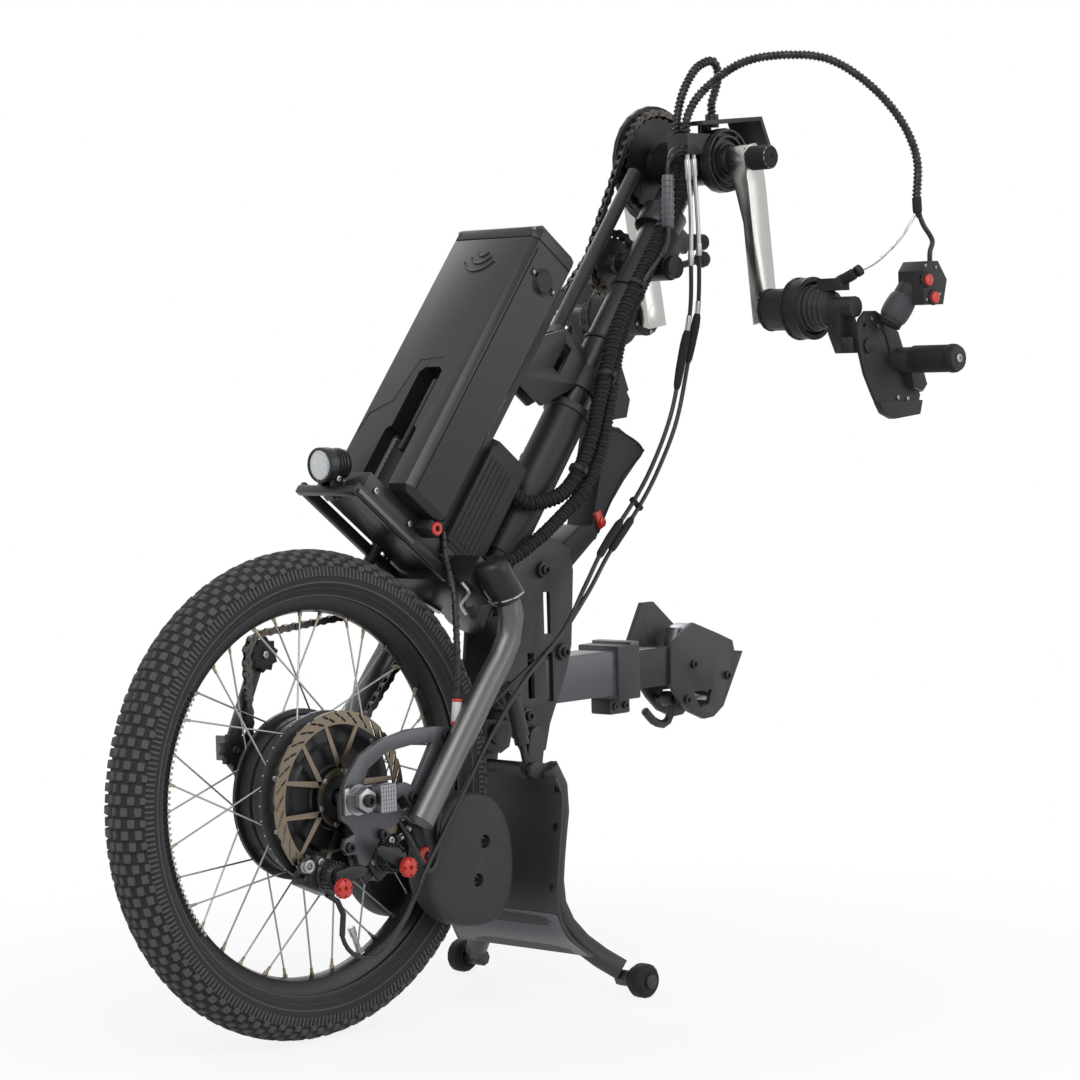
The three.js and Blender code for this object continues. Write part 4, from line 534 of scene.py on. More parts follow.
def surface(name, tint, roughness, metallic=0.0, specular=0.5, grain_mm=1.0, relief=0.0, tone=0.12,
            patch=0.08, lines=None, edge=0.0, coat=0.0):
    """A finish with a cloudy tone, a grain of a real size and edges painted lighter: partly edge wear, partly
    a painted highlight.
    """
    material = bpy.data.materials.new(name)
    material.use_nodes = True
    tree = material.node_tree
    tree.nodes.clear()
    tint = (*tint, 1.0)
    coords = add_node(tree, "ShaderNodeTexCoord")
    cloud = add_node(tree, "ShaderNodeTexNoise", {"Scale": 22.0, "Detail": 5.0, "Roughness": 0.6},
                     {"Vector": coords.outputs["Object"]})
    stretched = add_node(tree, "ShaderNodeMapping", {"Scale": lines or (1.0, 1.0, 1.0)},
                         {"Vector": coords.outputs["Object"]})
    grain = add_node(tree, "ShaderNodeTexNoise", {"Scale": 1000.0 / grain_mm, "Detail": 3.0,
                                                  "Roughness": 0.55}, {"Vector": stretched.outputs["Vector"]})
    darker = tuple(c * (1 - tone) for c in tint[:3]) + (1.0,)
    lighter = tuple(min(1.0, c * (1 + tone)) for c in tint[:3]) + (1.0,)
    toned = add_node(tree, "ShaderNodeMix", {"data_type": "RGBA", 6: darker, 7: lighter},
                     {0: cloud.outputs["Fac"]})
    shade = toned.outputs[2]
    # Convex edges, found by pointiness, are painted lighter: partly edge wear, partly a painted highlight
    # where light catches the edges.
    if edge:
        form = add_node(tree, "ShaderNodeNewGeometry")
        edge_wear_and_highlight = add_node(tree, "ShaderNodeMapRange", {"From Min": 0.51, "From Max": 0.62, "To Max": edge},
                        {"Value": form.outputs["Pointiness"]})
        bright = tuple(min(1.0, c + 0.25) for c in tint[:3]) + (1.0,)
        mixed = add_node(tree, "ShaderNodeMix", {"data_type": "RGBA", 7: bright},
                         {0: edge_wear_and_highlight.outputs["Result"], 6: shade})
        shade = mixed.outputs[2]
    spread = add_node(tree, "ShaderNodeMapRange",
                      {"To Min": max(0.02, roughness - patch), "To Max": min(1.0, roughness + patch)},
                      {"Value": cloud.outputs["Fac"]})
    shader = add_node(tree, "ShaderNodeBsdfPrincipled",
                      {"Metallic": metallic, "Specular IOR Level": specular, "Coat Weight": coat,
                       "Coat Roughness": 0.15}, {"Base Color": shade, "Roughness": spread.outputs["Result"]})
    if relief:
        bump = add_node(tree, "ShaderNodeBump", {"Strength": relief, "Distance": grain_mm * 0.3 * MM},
                        {"Height": grain.outputs["Fac"]})
        tree.links.new(bump.outputs["Normal"], shader.inputs["Normal"])
    add_node(tree, "ShaderNodeOutputMaterial", links={"Surface": shader.outputs["BSDF"]})
    finishes[name] = material


def seen_directly(tree):
    """1 for what the camera, a reflection or a glass sees, and 0 for light."""
    path = add_node(tree, "ShaderNodeLightPath")
    seen = path.outputs["Is Camera Ray"]
    for ray in ("Is Glossy Ray", "Is Transmission Ray"):
        both = add_node(tree, "ShaderNodeMath", {"operation": "MAXIMUM"}, {0: seen, 1: path.outputs[ray]})
        seen = both.outputs[0]
    return seen


def make_finishes(tints):
    """Mixes each finish from what the real surface is."""
    # Vulcanised tyre tread: matt carbon-black rubber with a sandy skin
    surface("vulcanised_tyre", tints.tyre, 0.82, specular=0.35, grain_mm=1.6, relief=0.5, tone=0.22,
            edge=0.25)
    # Black anodised 6000 alloy: smooth, slightly soft reflections
    surface("anodised_black", tints.anodised_black, 0.36, metallic=0.35, specular=0.4, grain_mm=0.8,
            relief=0.05, tone=0.08, edge=0.1)
    # Powder-coated steel: orange-peel skin a millimetre or two across
    surface("powder_coat", tints.powder_black, 0.5, specular=0.45, grain_mm=1.8, relief=0.18, tone=0.1,
            edge=0.08)
    # Injection-moulded battery case: satin ABS with a fine spark-eroded grain
    surface("case_abs", tints.case, 0.34, specular=0.4, grain_mm=0.9, relief=0.12, tone=0.06, patch=0.05)
    # Glass-filled nylon mouldings: matt with a coarser grain
    surface("nylon", tints.moulding, 0.58, specular=0.35, grain_mm=1.2, relief=0.3, tone=0.12)
    # Moulded EPDM rubber: dull and nearly black
    surface("epdm", tints.rubber, 0.72, specular=0.3, grain_mm=1.5, relief=0.25, tone=0.15)
    # Metallic fork paint under clear lacquer
    surface("fork_paint", tints.paint_grey, 0.34, metallic=0.65, grain_mm=0.7, relief=0.04, tone=0.08,
            edge=0.1)
    # Grey anodised plate: fine matt blasting
    surface("anodised_grey", tints.anodised_grey, 0.42, metallic=0.6, grain_mm=0.6, relief=0.12, tone=0.08,
            edge=0.2)
    # Polished and brushed crank alloy: long fine lines along the arm
    surface("brushed_alloy", tints.alloy, 0.26, metallic=1.0, grain_mm=1.2, relief=0.06, tone=0.05,
            lines=(1.0, 1.0, 0.05))
    # Zinc-plated steel: bright but slightly cloudy
    surface("zinc_steel", tints.steel, 0.32, metallic=1.0, grain_mm=1.0, relief=0.05, tone=0.15)
    # Stainless rotor, tinted bronze by heat and ground across
    surface("rotor_steel", tints.rotor, 0.36, metallic=1.0, grain_mm=0.9, relief=0.15, tone=0.18)
    # Oiled chain and sprocket steel
    surface("chain_steel", tints.chain, 0.42, metallic=0.9, grain_mm=1.0, relief=0.1, tone=0.25)
    # Red glossy knobs and buttons
    surface("red_gloss", tints.red, 0.3, specular=0.5, grain_mm=1.0, relief=0.03, tone=0.06)
    # Cast ballast under matt grey-black enamel with a sandy skin
    surface("ballast_enamel", tints.ballast, 0.62, specular=0.35, grain_mm=2.2, relief=0.3, tone=0.12,
            edge=0.1)
    # PVC cable sheath: smooth, slightly glossy
    surface("cable_pvc", tints.rubber, 0.4, specular=0.45, grain_mm=1.0, relief=0.05, tone=0.1)
    # Bright wound-steel cable housing
    surface("cable_silver", linear("#b9babc"), 0.35, metallic=0.8, grain_mm=1.0, relief=0.05, tone=0.1)
    # Soft grey rubber wrap of the sticks
    surface("stick_rubber", linear("#414245"), 0.62, specular=0.35, grain_mm=1.2, relief=0.25, tone=0.1)
    # Painted sheen: a lighter grey face over the stand's curved lower apron, where the bend of the black
    # sheet catches light
    surface("painted_apron_sheen", linear("#4a4d54"), 0.38, specular=0.5, grain_mm=3.0, relief=0.1, tone=0.2)
    # White nylon sleeve
    surface("sleeve_white", linear("#d9d8d4"), 0.5, grain_mm=1.0, relief=0.05, tone=0.04)
    # Retroreflective band moulded on the tyre wall
    surface("reflex_band", linear("#b9b8b2"), 0.5, grain_mm=1.4, relief=0.4, tone=0.1)
    # Brass spoke nipples
    surface("brass_nipple", linear("#8f8472"), 0.35, metallic=1.0, grain_mm=0.8, relief=0.05, tone=0.12)
    # Lamp reflector: aluminium vapour on a faceted cup
    surface("lamp_mirror", linear("#e2e3e4"), 0.12, metallic=1.0, grain_mm=3.0, relief=0.1, tone=0.03)
    lens = bpy.data.materials.new("lamp_lens")
    lens.use_nodes = True
    shader = lens.node_tree.nodes["Principled BSDF"]
    # Clear polycarbonate lens with faint moulded optics
    shader.inputs["Base Color"].default_value = (0.93, 0.95, 0.96, 1)
    shader.inputs["Roughness"].default_value = 0.06
    shader.inputs["IOR"].default_value = 1.58
    shader.inputs["Transmission Weight"].default_value = 0.75
    finishes["lamp_lens"] = lens


# Pieces ------------------------------------------------------------------------

class HANDCYCLE_OT_finishes(bpy.types.Operator):
    """Makes the materials of all the pieces"""

    bl_idname = "handcycle.finishes"
    bl_label = "Finishes"

    def execute(self, context):
        make_finishes(context.scene.handcycle_colours)
        return {"FINISHED"}


class HANDCYCLE_OT_tyre(bpy.types.Operator):
    """Builds the tyre casing, its tread blocks and its short bright wall mark"""

    bl_idname = "handcycle.tyre"
    bl_label = "Tyre"

    # Radius of the section's middle, half its height with the tread, how much wider it is than high,
    # how far that spreads the tread blocks, and the thickness of its wall
    crown = 227.0
    half_section = 27.3
    bulge = 1.2
    spread = 0.2
    wall = 3.5
    # Tread blocks: half pitches along, lean in degrees, width and length
    blocks = ((0, 10, 7, 8.6), (0, 38, 7, 8.6), (1, 0, 4, 8), (1, 24, 7.4, 8.6), (1, 52, 7, 8.6),
              (0, 62, 5.5, 7))
    # Ridges of the wall: radius and distance from the middle
    ridges = ((214.5, 24.1), (220, 27.2), (206.5, 17.8))
    # Bars of the bright wall mark, and the degrees of its start and its steps
    mark_count, mark_start, mark_step = 44, -128, 1.75

    def execute(self, context):
        wheel = context.scene.handcycle_wheel
        height = wheel.knob_height / MM
        section = self.half_section - height
        arc = [math.radians(a) for a in range(-144, 145, 12)]
        outer, inner = ([(self.crown + r * math.cos(a), self.bulge * r * math.sin(a)) for a in arc]
                        for r in (section, section - self.wall))
        casing = lathe(outer + inner[::-1], 120)
        pitch = TURN / wheel.knob_rows
        knobs = []
        for row, lean, wide, long in self.blocks:
            for side in ((-1, 1) if lean else (1,)):
                knob = block((-long / 2, -wide / 2, section - 1.5), (long / 2, wide / 2, section + height),
                             0.7, 1)
                swell = self.spread * section * math.sin(math.radians(lean)) * -side
                foot = moved(spun(row * pitch), 0, swell, self.crown)
                knobs.append(put(knob, foot @ spun(math.radians(lean * side), "X")))
        for step in range(4):
            for side in (-1, 1):
                rib = block((-1.1, -5, section - 1), (1.1, 5, section + 0.9))
                foot = moved(spun(step * pitch / 2), 0, -4.7 * side, self.crown)
                knobs.append(put(rib, foot @ spun(math.radians(78 * side), "X")))
        tread = turned_copies(joined(*knobs), wheel.knob_rows // 2)
        beads = [washer(r, r + 1.6, side * y, side * (y + 0.9), 120) for side in (-1, 1)
                 for r, y in self.ridges]
        finished(joined(casing, tread, *beads), "tyre_and_tread", "front_wheel", "vulcanised_tyre",
                 WHEEL, ("tyre",), 40)
        marks = []
        for k in range(self.mark_count):
            mark = block((-1.3, -27.5, -2.3), (1.3, -26.2, 2.3))
            spot = moved(spun(math.radians(self.mark_start + k * self.mark_step)), 0, 6.4, 209)
            marks.append(put(mark, spot @ spun(math.radians(24), "X")))
        finished(marks, "wall_reflex_mark", "front_wheel", "reflex_band", WHEEL)
        return {"FINISHED"}


class HANDCYCLE_OT_rim(bpy.types.Operator):
    """Builds the rim, the valve, the spokes and their nipples"""

    bl_idname = "handcycle.rim"
    bl_label = "Rim and spokes"

    # Radii of the spokes' ends, how far they slant round, and the valve's place round
    foot_radius, tip_radius = 85.6, 188.5
    slant = 0.42
    valve_turn = 158

    def execute(self, context):
        wheel = context.scene.handcycle_wheel
        rim = lathe([(207.5, -15.4), (207.5, -12.6), (201, -11.5), (198, -6), (198, 6), (201, 11.5),
                     (207.5, 12.6), (207.5, 15.4), (200, 14.8), (192, 9.5), (189.6, 4), (189.2, 0),
                     (189.6, -4), (192, -9.5), (200, -14.8)], 120)
        finished(rim, "rim_extrusion", "front_wheel", "anodised_black", WHEEL, ("wheel_rim",),
                 30)
        spokes, nipples = [], []
        for k, (side, way_round) in enumerate(((-31, 1), (8.5, 1), (-31, -1), (8.5, -1))):
            end = TURN * k / wheel.spoke_count
            hub = end - self.slant * way_round
            foot = Vector((self.foot_radius * math.sin(hub), side, self.foot_radius * math.cos(hub)))
            tip = Vector((self.tip_radius * math.sin(end), 2.5 if side > 0 else -2.5,
                          self.tip_radius * math.cos(end)))
            spokes.append(rod(foot, tip, wheel.spoke_width / MM / 2, 10))
            elbow = foot * 0.985 + Vector((0, 3.4 if side > 0 else -3.4, 0))
            spokes.append(rod(elbow, foot, wheel.spoke_width / MM / 2, 10))
            way = (tip - foot).normalized()
            nipples.append(joined(rod(tip - way * 9, tip + way * 1.5, 1.5, 10, tip=1.8),
                                  rod(tip - way * 2.5, tip + way * 3, 2.5, 6)))
        number = wheel.spoke_count // 4
        finished(turned_copies(joined(*spokes), number), "wire_spokes", "front_wheel", "zinc_steel",
                 WHEEL, ("spokes",), 40)
        finished(turned_copies(joined(*nipples), number), "spoke_nipples", "front_wheel", "brass_nipple",
                 WHEEL)
        lean = math.radians(self.valve_turn)
        foot, tip = (Vector((r * math.sin(lean), 0, r * math.cos(lean))) for r in (192, 160))
        way = (tip - foot).normalized()
        valve = joined(rod(foot, tip, 3.0, 16, 0.3), rod(foot, foot + way * 3, 6, 6, 0.4),
                       rod(tip - way * 9, tip + way, 4.2, 16, 0.5))
        finished(valve, "tyre_valve", "front_wheel", "cable_silver", WHEEL)
        return {"FINISHED"}


class HANDCYCLE_OT_hub(bpy.types.Operator):
    """Builds the hub motor's stepped drum, its screws and the brake rotor"""

    bl_idname = "handcycle.hub"
    bl_label = "Hub and rotor"

    # Rotor: pairs of slots with their radii and lean in degrees, notches in its edge, pairs of arms
    slot_pairs = 32
    slot_radii = (85.6, 80.6)
    slot_lean = 34
    notches = 16
    arm_pairs = 6

    def execute(self, context):
        drum = lathe([(10, -52), (24, -52), (24, -46), (30, -44.6), (32, -46), (34, -44.6), (54, -44),
                      (58, -40), (74, -37.5), (82, -37), (89, -33), (89, -29), (84, -27.5), (82.5, -25),
                      (82.5, -12), (80.5, -11), (80.5, -8), (82.5, -7), (82.5, 3), (84, 6), (89, 7), (89, 11),
                      (82, 15), (66, 19), (62, 24), (60, 32), (44, 38), (10, 38)], 96)
        finished(drum, "hub_motor_drum", "front_wheel", "anodised_black", WHEEL,
                 ("hub_motor",), 28)
        screws = [bolt_head(spot, (0, -1, 0), 2.6, 1.8) for spot in spots_round(9, 80, -37)]
        edge = turned_copies(ball((89, -31, 0), 1.3), 36)
        finished(joined(*screws, edge), "hub_cover_screws", "front_wheel", "zinc_steel", WHEEL)
        band = lathe([(90, -54.4), (90, -52.4), (76, -52.4), (76, -54.4)], 120)
        slots = []
        for k, radius in enumerate(self.slot_radii):
            slot = block((-4.6, -58, -1.2), (4.6, -49, 1.2), 1.0, 2)
            spot = moved(spun(TURN * k / (2 * self.slot_pairs)), 0, 0, radius)
            slots.append(put(slot, spot @ spun(math.radians(self.slot_lean))))
        notch = rod((0, -58, 93.4), (0, -49, 93.4), 5.2, 16)
        cut(band, turned_copies(joined(*slots), self.slot_pairs), turned_copies(notch, self.notches))
        arms = []
        for foot_turn, tip_turn in ((0, 0.36), (0.1, -0.22)):
            foot = Vector((27 * math.sin(foot_turn), 0, 27 * math.cos(foot_turn)))
            tip = Vector((78 * math.sin(tip_turn), 0, 78 * math.cos(tip_turn)))
            way = (tip - foot).normalized()
            across = Vector((way.z, 0, -way.x))
            corners = [foot - across * 3.4, foot + across * 3.4, tip + across * 2.2, tip - across * 2.2]
            arms.append(plate([(c.x, c.z) for c in corners], (-54.2, -52.6)))
        arms = turned_copies(joined(*arms), self.arm_pairs)
        carrier = lathe([(31, -54.6), (31, -52.2), (23.5, -52.2), (23.5, -54.6)], 64)
        finished(joined(band, arms, carrier), "brake_rotor_blade", "front_wheel", "rotor_steel",
                 WHEEL, ("brake_rotor",), 30)
        bolts = [bolt_head(spot, (0, -1, 0), 3.2, 1.6) for spot in spots_round(6, 27.5, -54.4, 0.3)]
        finished(bolts, "rotor_bolts", "front_wheel", "zinc_steel", WHEEL)
        return {"FINISHED"}


class HANDCYCLE_OT_brakes(bpy.types.Operator):
    """Builds the two calipers with their knobs, the dropout plate and the axle nuts"""

    bl_idname = "handcycle.brakes"
    bl_label = "Brakes and axle"

    # Each caliper's name, its X and Z from the axle, and the turn of its arm in degrees
    calipers = (("front", -33.6, -74.3, 150), ("rear", 47.3, -65.9, 60))

    def execute(self, context):
        for name, x, z, arm_turn in self.calipers:
            place = moved(HERE, x, 0, z) @ spun(math.atan2(x, z))
            body = [block((-22, -68, -16), (22, -58, 14), 3), block((-20, -50, -16), (20, -38, 12), 3),
                    block((-20, -67, 8), (20, -38, 18), 3), rod((-26, -63, 2), (-26, -50, 2), 6, 20, 1),
                    block((16, -64, -8), (34, -58, 8), 2)]
            body.append(lathe([(0, -84), (11.5, -84), (14.5, -81), (15, -78), (13.4, -77), (15, -76),
                               (15, -72), (17, -70), (17, -66), (0, -66)], 40))
            body.append(turned_copies(rod((14.6, -84, 0), (14.6, -70, 0), 1.1, 8), 18))
            arm = plate([(-8, -7), (-8, 7), (10, 8), (30, 5), (36, 0), (30, -5), (10, -8)], (-91, -86.5), 0.8)
            body += [put(arm, spun(math.radians(arm_turn))), rod((0, -90, 0), (0, -82, 0), 8, 24, 0.6)]
            finished(put(joined(*body), place), f"caliper_body_{name}", "steering", "anodised_black",
                     WHEEL, (f"caliper_{name}",))
            knob = lathe([(0, -100), (7.2, -100), (9.4, -98.6), (9.6, -93), (8.4, -91.6), (0, -91.6)], 40)
            grips = turned_copies(rod((9.6, -99, 0), (9.6, -93, 0), 0.9, 8), 16)
            outer, inner = spots_round(4, 8.2, -102), spots_round(4, 8.2, -96)
            star = [rod(start, end, 1.7, 12) for start, end in zip(outer, inner)]
            cut(knob, *star, rod((0, -102, 0), (0, -97.5, 0), 2.6, 6))
            knob = shifted(joined(knob, grips), x * 1.14, 0, z * 1.14)
            finished(knob, f"pad_adjuster_{name}", "steering", "red_gloss", WHEEL)
            screws = [bolt_head((s * 16, -68, -9), (0, -1, 0), 4, 3.6) for s in (-1, 1)]
            spring = coil([(0, -84, 0), (0, -70, 0)], 16.6, 0.8, 3.4)
            screws = joined(*screws, spring, rod((-30, -60, 4), (-44, -60, 8), 3.4, 16, 0.5))
            finished(put(screws, place), f"caliper_screws_{name}", "steering", "zinc_steel", WHEEL)
        finished(washer(3.4, 7, -84, -77, 24, 0.8), "banjo_ring", "steering", "zinc_steel",
                 moved(WHEEL, -71.8, 0, -59.3))
        finished(lathe([(6, -66), (10, -66), (11, -65), (11, -61), (6, -61)], 32), "brake_adjuster_ring",
                 "steering", "red_gloss", moved(WHEEL, 112, 0, -74))
        left = plate([(-17, -20), (-18, 0), (-13, 12), (-6, 25), (12, 44), (43, 57), (81, 63.5), (119, 63),
                      (150, 59), (150, 46), (132, 30), (116, 4), (108, -20), (104, -36), (86, -36), (72, -27),
                      (58, -34), (44, -38), (34, -50), (24, -64), (16, -71), (6, -68), (2, -57), (-10, -57),
                      (-16, -50), (-12, -40), (0, -36), (-8, -26)], (-73.8, -67.8))
        window = plate([(15, 12), (22, 28), (49, 43), (87, 47), (114, 46), (108, 36), (87, 4), (76, 9),
                        (50, 7)], (-76, -64))
        small = plate([(60, -8), (72, -4), (82, -18), (70, -20)], (-76, -64))
        bevelled(cut(left, window, small), 0.8)
        finished(left, "dropout_plate_left_cut", "steering", "anodised_grey", WHEEL,
                 ("dropout_plate_left",))
        nuts = [bolt_head((x, -73.8, z), (0, -1, 0), 5.6, 4.5)
                for x, z in ((134.6, 52.2), (83.5, -7), (38.8, -41), (-8, -48.7), (92, -26))]
        nuts += [bolt_head((x, 73.8, z), (0, 1, 0), 4.6, 4)
                 for x, z in ((-30, 50), (128, 58), (116, 12), (98, -44))]
        finished(nuts, "dropout_bolts", "steering", "anodised_black", WHEEL)
        axle = [rod((0, -88, 0), (0, 92, 0), 7, 32)]
        for side in (-1, 1):
            axle += [block((-17, min(side * 74, side * 80), -15), (30, max(side * 74, side * 80), 13), 1.2),
                     rod((0, side * 80, 0), (0, side * 96, 0), 13.5, 6, 1.4),
                     washer(6, 16, side * 80, side * 82, 40)]
        face = block((16, -99, -15), (38, -84, 14), 1.4)
        grooves = [block((18.5 + k * 3.6, -101, -17), (19.7 + k * 3.6, -98.2, 16)) for k in range(6)]
        grooves += [block((14, -101, -13 + k * 4.2), (40, -98.2, -11.8 + k * 4.2)) for k in range(7)]
        for groove in grooves:
            cut(face, groove)
        finished(joined(*axle, face), "axle_and_nuts", "steering", "zinc_steel", WHEEL, ("axle",))
        finished(bolt_head((0, -96, 0), (0, -1, 0), 7, 5), "axle_cap_screw", "steering", "anodised_black",
                 WHEEL)
        return {"FINISHED"}


class HANDCYCLE_OT_battery(bpy.types.Operator):
    """Builds the battery case with its seam, hand hold, port and lock, and the rails of its tray"""

    bl_idname = "handcycle.battery"
    bl_label = "Battery and tray"

    def execute(self, context):
        case = block((-206, -65, -203), (-136, 65, 151), 7, 1)
        seam = block((-214, -72, 130), (-128, 72, 131.8))
        cut(seam, block((-204.8, -63.8, 100), (-137.2, 63.8, 150), 7, 1))
        cut(case, seam)
        cut(case, block((-214, -26, -215), (-178, 8, -44), 6, 1))
        cut(case, block((-214, -32, -215), (-187, 15, -122), 4, 1))
        for x in (-196, -143):
            cut(case, block((x - 0.8, -70, -196), (x + 0.8, -63.8, 122)))
        bevelled(case, 0.9, 2, 25)
        finished(case, "battery_shell", "steering", "case_abs", COLUMN, ("battery_case",), 20)
        grip = joined(block((-204, -22, -150), (-196, -16, -58), 1.6),
                      block((-190, -28, -196), (-186, 10, -128), 1),
                      block((-152, -58, -216), (-132, -34, -203), 2.5))
        ribs = [block((-189, -30, -196 + k * 6), (-184.5, 12, -193.6 + k * 6), 0.5, 1) for k in range(12)]
        finished(joined(grip, *ribs), "battery_latch_bar", "steering", "nylon", COLUMN)
        waves = []
        for radius in (10, 19, 28):
            arc = [(-206, 3 - radius * math.sin(a), 118 - radius * 1.15 * math.cos(a))
                   for a in (math.radians(d) for d in range(-54, 55, 9))]
            waves.append(tube(arc, 1.5, 8))
        edge = [(-206, 57, -128), (-206, 52, -104), (-206, 26, -88), (-206, 16, -34), (-206, -18, -30)]
        waves.append(tube(edge, 0.7, 8))
        finished(waves, "battery_relief", "steering", "case_abs", COLUMN)
        port = lathe([(0, -60), (11, -60), (12, -59), (12.4, -57.4), (14.6, -57.4), (15.4, -56.6),
                      (15.4, -55), (0, -55)], 48)
        tab = block((-4, -61.4, -13), (4, -59, -8), 1)
        port = joined(port, tab, block((-21, -57.4, -4), (21, -55.4, 4), 1.2))
        finished(port, "battery_port_cap", "steering", "nylon", moved(COLUMN, -169, -9, 96))
        screws = [bolt_head((-169 + s * 18.4, -66.2, 96), (0, -1, 0), 2, 1.4) for s in (-1, 1)]
        screws += [bolt_head((-205.6, s * 57, 141), (-1, 0, 0), 2, 1.4) for s in (-1, 1)]
        screws += [bolt_head((x, s * 36, -216), (0, s, 0), 3.6, 3) for x in (-220, -160, -100)
                   for s in (-1, 1)]
        finished(screws, "battery_screws", "steering", "zinc_steel", COLUMN)
        ring = lathe([(3.4, -61), (6.6, -61), (7.2, -60), (7.2, -58.6), (3.4, -58.6)], 32)
        finished(ring, "battery_lock_ring", "steering", "red_gloss",
                 moved(COLUMN, -142, 0, -209.5))
        bars = [block((-250, -44, -238), (-84, -37, -226), 1), block((-250, 37, -238), (-84, 44, -226), 1),
                block((-252, -44, -240), (-244, 44, -231), 1)]
        finished(bars, "tray_rails", "steering", "anodised_black", COLUMN)
        strip = block((-246, -46, -236), (-150, -43, -231), 0.8)
        finished(strip, "tray_edge_strip", "steering", "anodised_grey", COLUMN)
        side = block((-104, -35.8, -196), (-60, -34.6, -74), 1)
        fins = [block((-98 + k * 7, -37, -190), (-95.5 + k * 7, -35, -84), 0.6, 1) for k in range(6)]
        finished(joined(side, *fins), "controller_ribs", "steering", "nylon", COLUMN)
        return {"FINISHED"}


class HANDCYCLE_OT_lamp(bpy.types.Operator):
    """Adds the headlight's mirror, lens and rings"""

    bl_idname = "handcycle.lamp"
    bl_label = "Headlight"

    def execute(self, context):
        front = moved(PART, -190, 0, 594) @ spun(math.radians(-90), "Z")
        cup = lathe([(0, -1.5), (6, -1.2), (11, -0.6), (15.8, -0.3), (15.8, 1), (0, 1)], 48)
        finished(cup, "lamp_reflector", "lamp", "lamp_mirror", front)
        lens = lathe([(0, -4.4), (6, -4.1), (11, -3.2), (15, -2), (16, -1.4), (16, -0.4), (0, -1.7)], 48)
        finished(lens, "lamp_lens", "lamp", "lamp_lens", front)
        bezel = lathe([(16, -3), (18, -3), (18.6, -2), (18.6, 8), (16.4, 8), (16, 0)], 48)
        rings = [washer(15.6, 17.2, y, y + 1.6, 48) for y in (14, 18, 22)]
        finished(joined(bezel, *rings), "lamp_bezel", "lamp", "anodised_black", front)
        screws = [bolt_head((x, -10.3, z), (0, -1, 0), 3.4, 3) for x, z in ((-176, 566), (-177, 579))]
        finished(screws, "lamp_screws", "lamp", "zinc_steel")
        return {"FINISHED"}


class HANDCYCLE_OT_cranks(bpy.types.Operator):
    """Adds the crank bumper, the bearing cover rings, the guard's screws and the cable adjusters"""

    bl_idname = "handcycle.cranks"
    bl_label = "Crank details"

    # Cable adjusters: both ends of the barrel, then the lead up and the lead down
    adjusters = (
        ((-73, -60, 323), (-39, -60, 276),
         ((-80, -60, 332.7), (-80, -56, 352), (-64, -50, 372), (-46, -44, 386)),
         ((-32, -60, 266.3), (-24, -54, 250), (-20, -44, 226), (-19, -36, 200))),
        ((-60, -46, 332), (-26, -46, 285),
         ((-67, -46, 341.7), (-66, -46, 356), (-54, -46, 372), (-42, -46, 384)),
         ((-19, -46, 275.3), (-14, -43, 258), (-16, -37, 236), (-18, -35, 214))),
    )

    def execute(self, context):
        bumper = lathe([(0, -114), (3, -114), (3, -123.4), (11, -123.4), (13.6, -121), (14, -112),
                        (14, -92.6), (0, -92.6)], 40)
        finished(bumper, "crank_bumper", "crankset", "epdm", CRANK)
        rings = [washer(r, r + 2.4, -60, -56, 64) for r in (18, 26, 33)]
        cap = lathe([(0, -69), (10, -69), (15, -66), (17, -61), (17, -57), (0, -57)], 48)
        screws = [bolt_head(spot, (0, -1, 0), 2.4, 1.8) for spot in spots_round(6, 29.8, -58)]
        finished(joined(*rings, *screws), "bearing_cover_rings", "steering", "anodised_black",
                 CRANK)
        finished(cap, "spindle_boss", "crankset", "anodised_black", CRANK)
        guard = [washer(r, r + 1.4, 53.2, 54.6, 96) for r in (36, 63, 68)]
        guard += [bolt_head(spot, (0, -1, 0), 3.4, 2.4) for spot in spots_round(5, 30, 54.4)]
        finished(guard, "guard_ridges", "crankset", "anodised_black", CRANK)
        dots = [shifted(lathe([(0, 52.4), (2.6, 52.4), (3, 53), (3, 54.6), (0, 54.6)], 24), x, 0, z)
                for x, z in ((-2, 46), (-40, -2))]
        finished(dots, "guard_red_dots", "crankset", "red_gloss", CRANK)
        barrels, leads = [], []
        for a, b, up, down in self.adjusters:
            leads += [tube([a, *up], 2.2, 10, steps=30), tube([b, *down], 2.2, 10, steps=30)]
            a, b = Vector(a), Vector(b)
            barrels.append(rod(a, b, 6.5, 24, 0.8))
            barrels += [rod(a.lerp(b, s), a.lerp(b, s + 0.03), 7.4, 24)
                        for s in (0.08, 0.2, 0.32, 0.44, 0.56, 0.68, 0.8)]
        finished(barrels, "adjuster_barrels", "steering", "anodised_grey", COLUMN)
        finished(leads, "adjuster_leads", "steering", "cable_pvc", COLUMN, smooth=60)
        return {"FINISHED"}


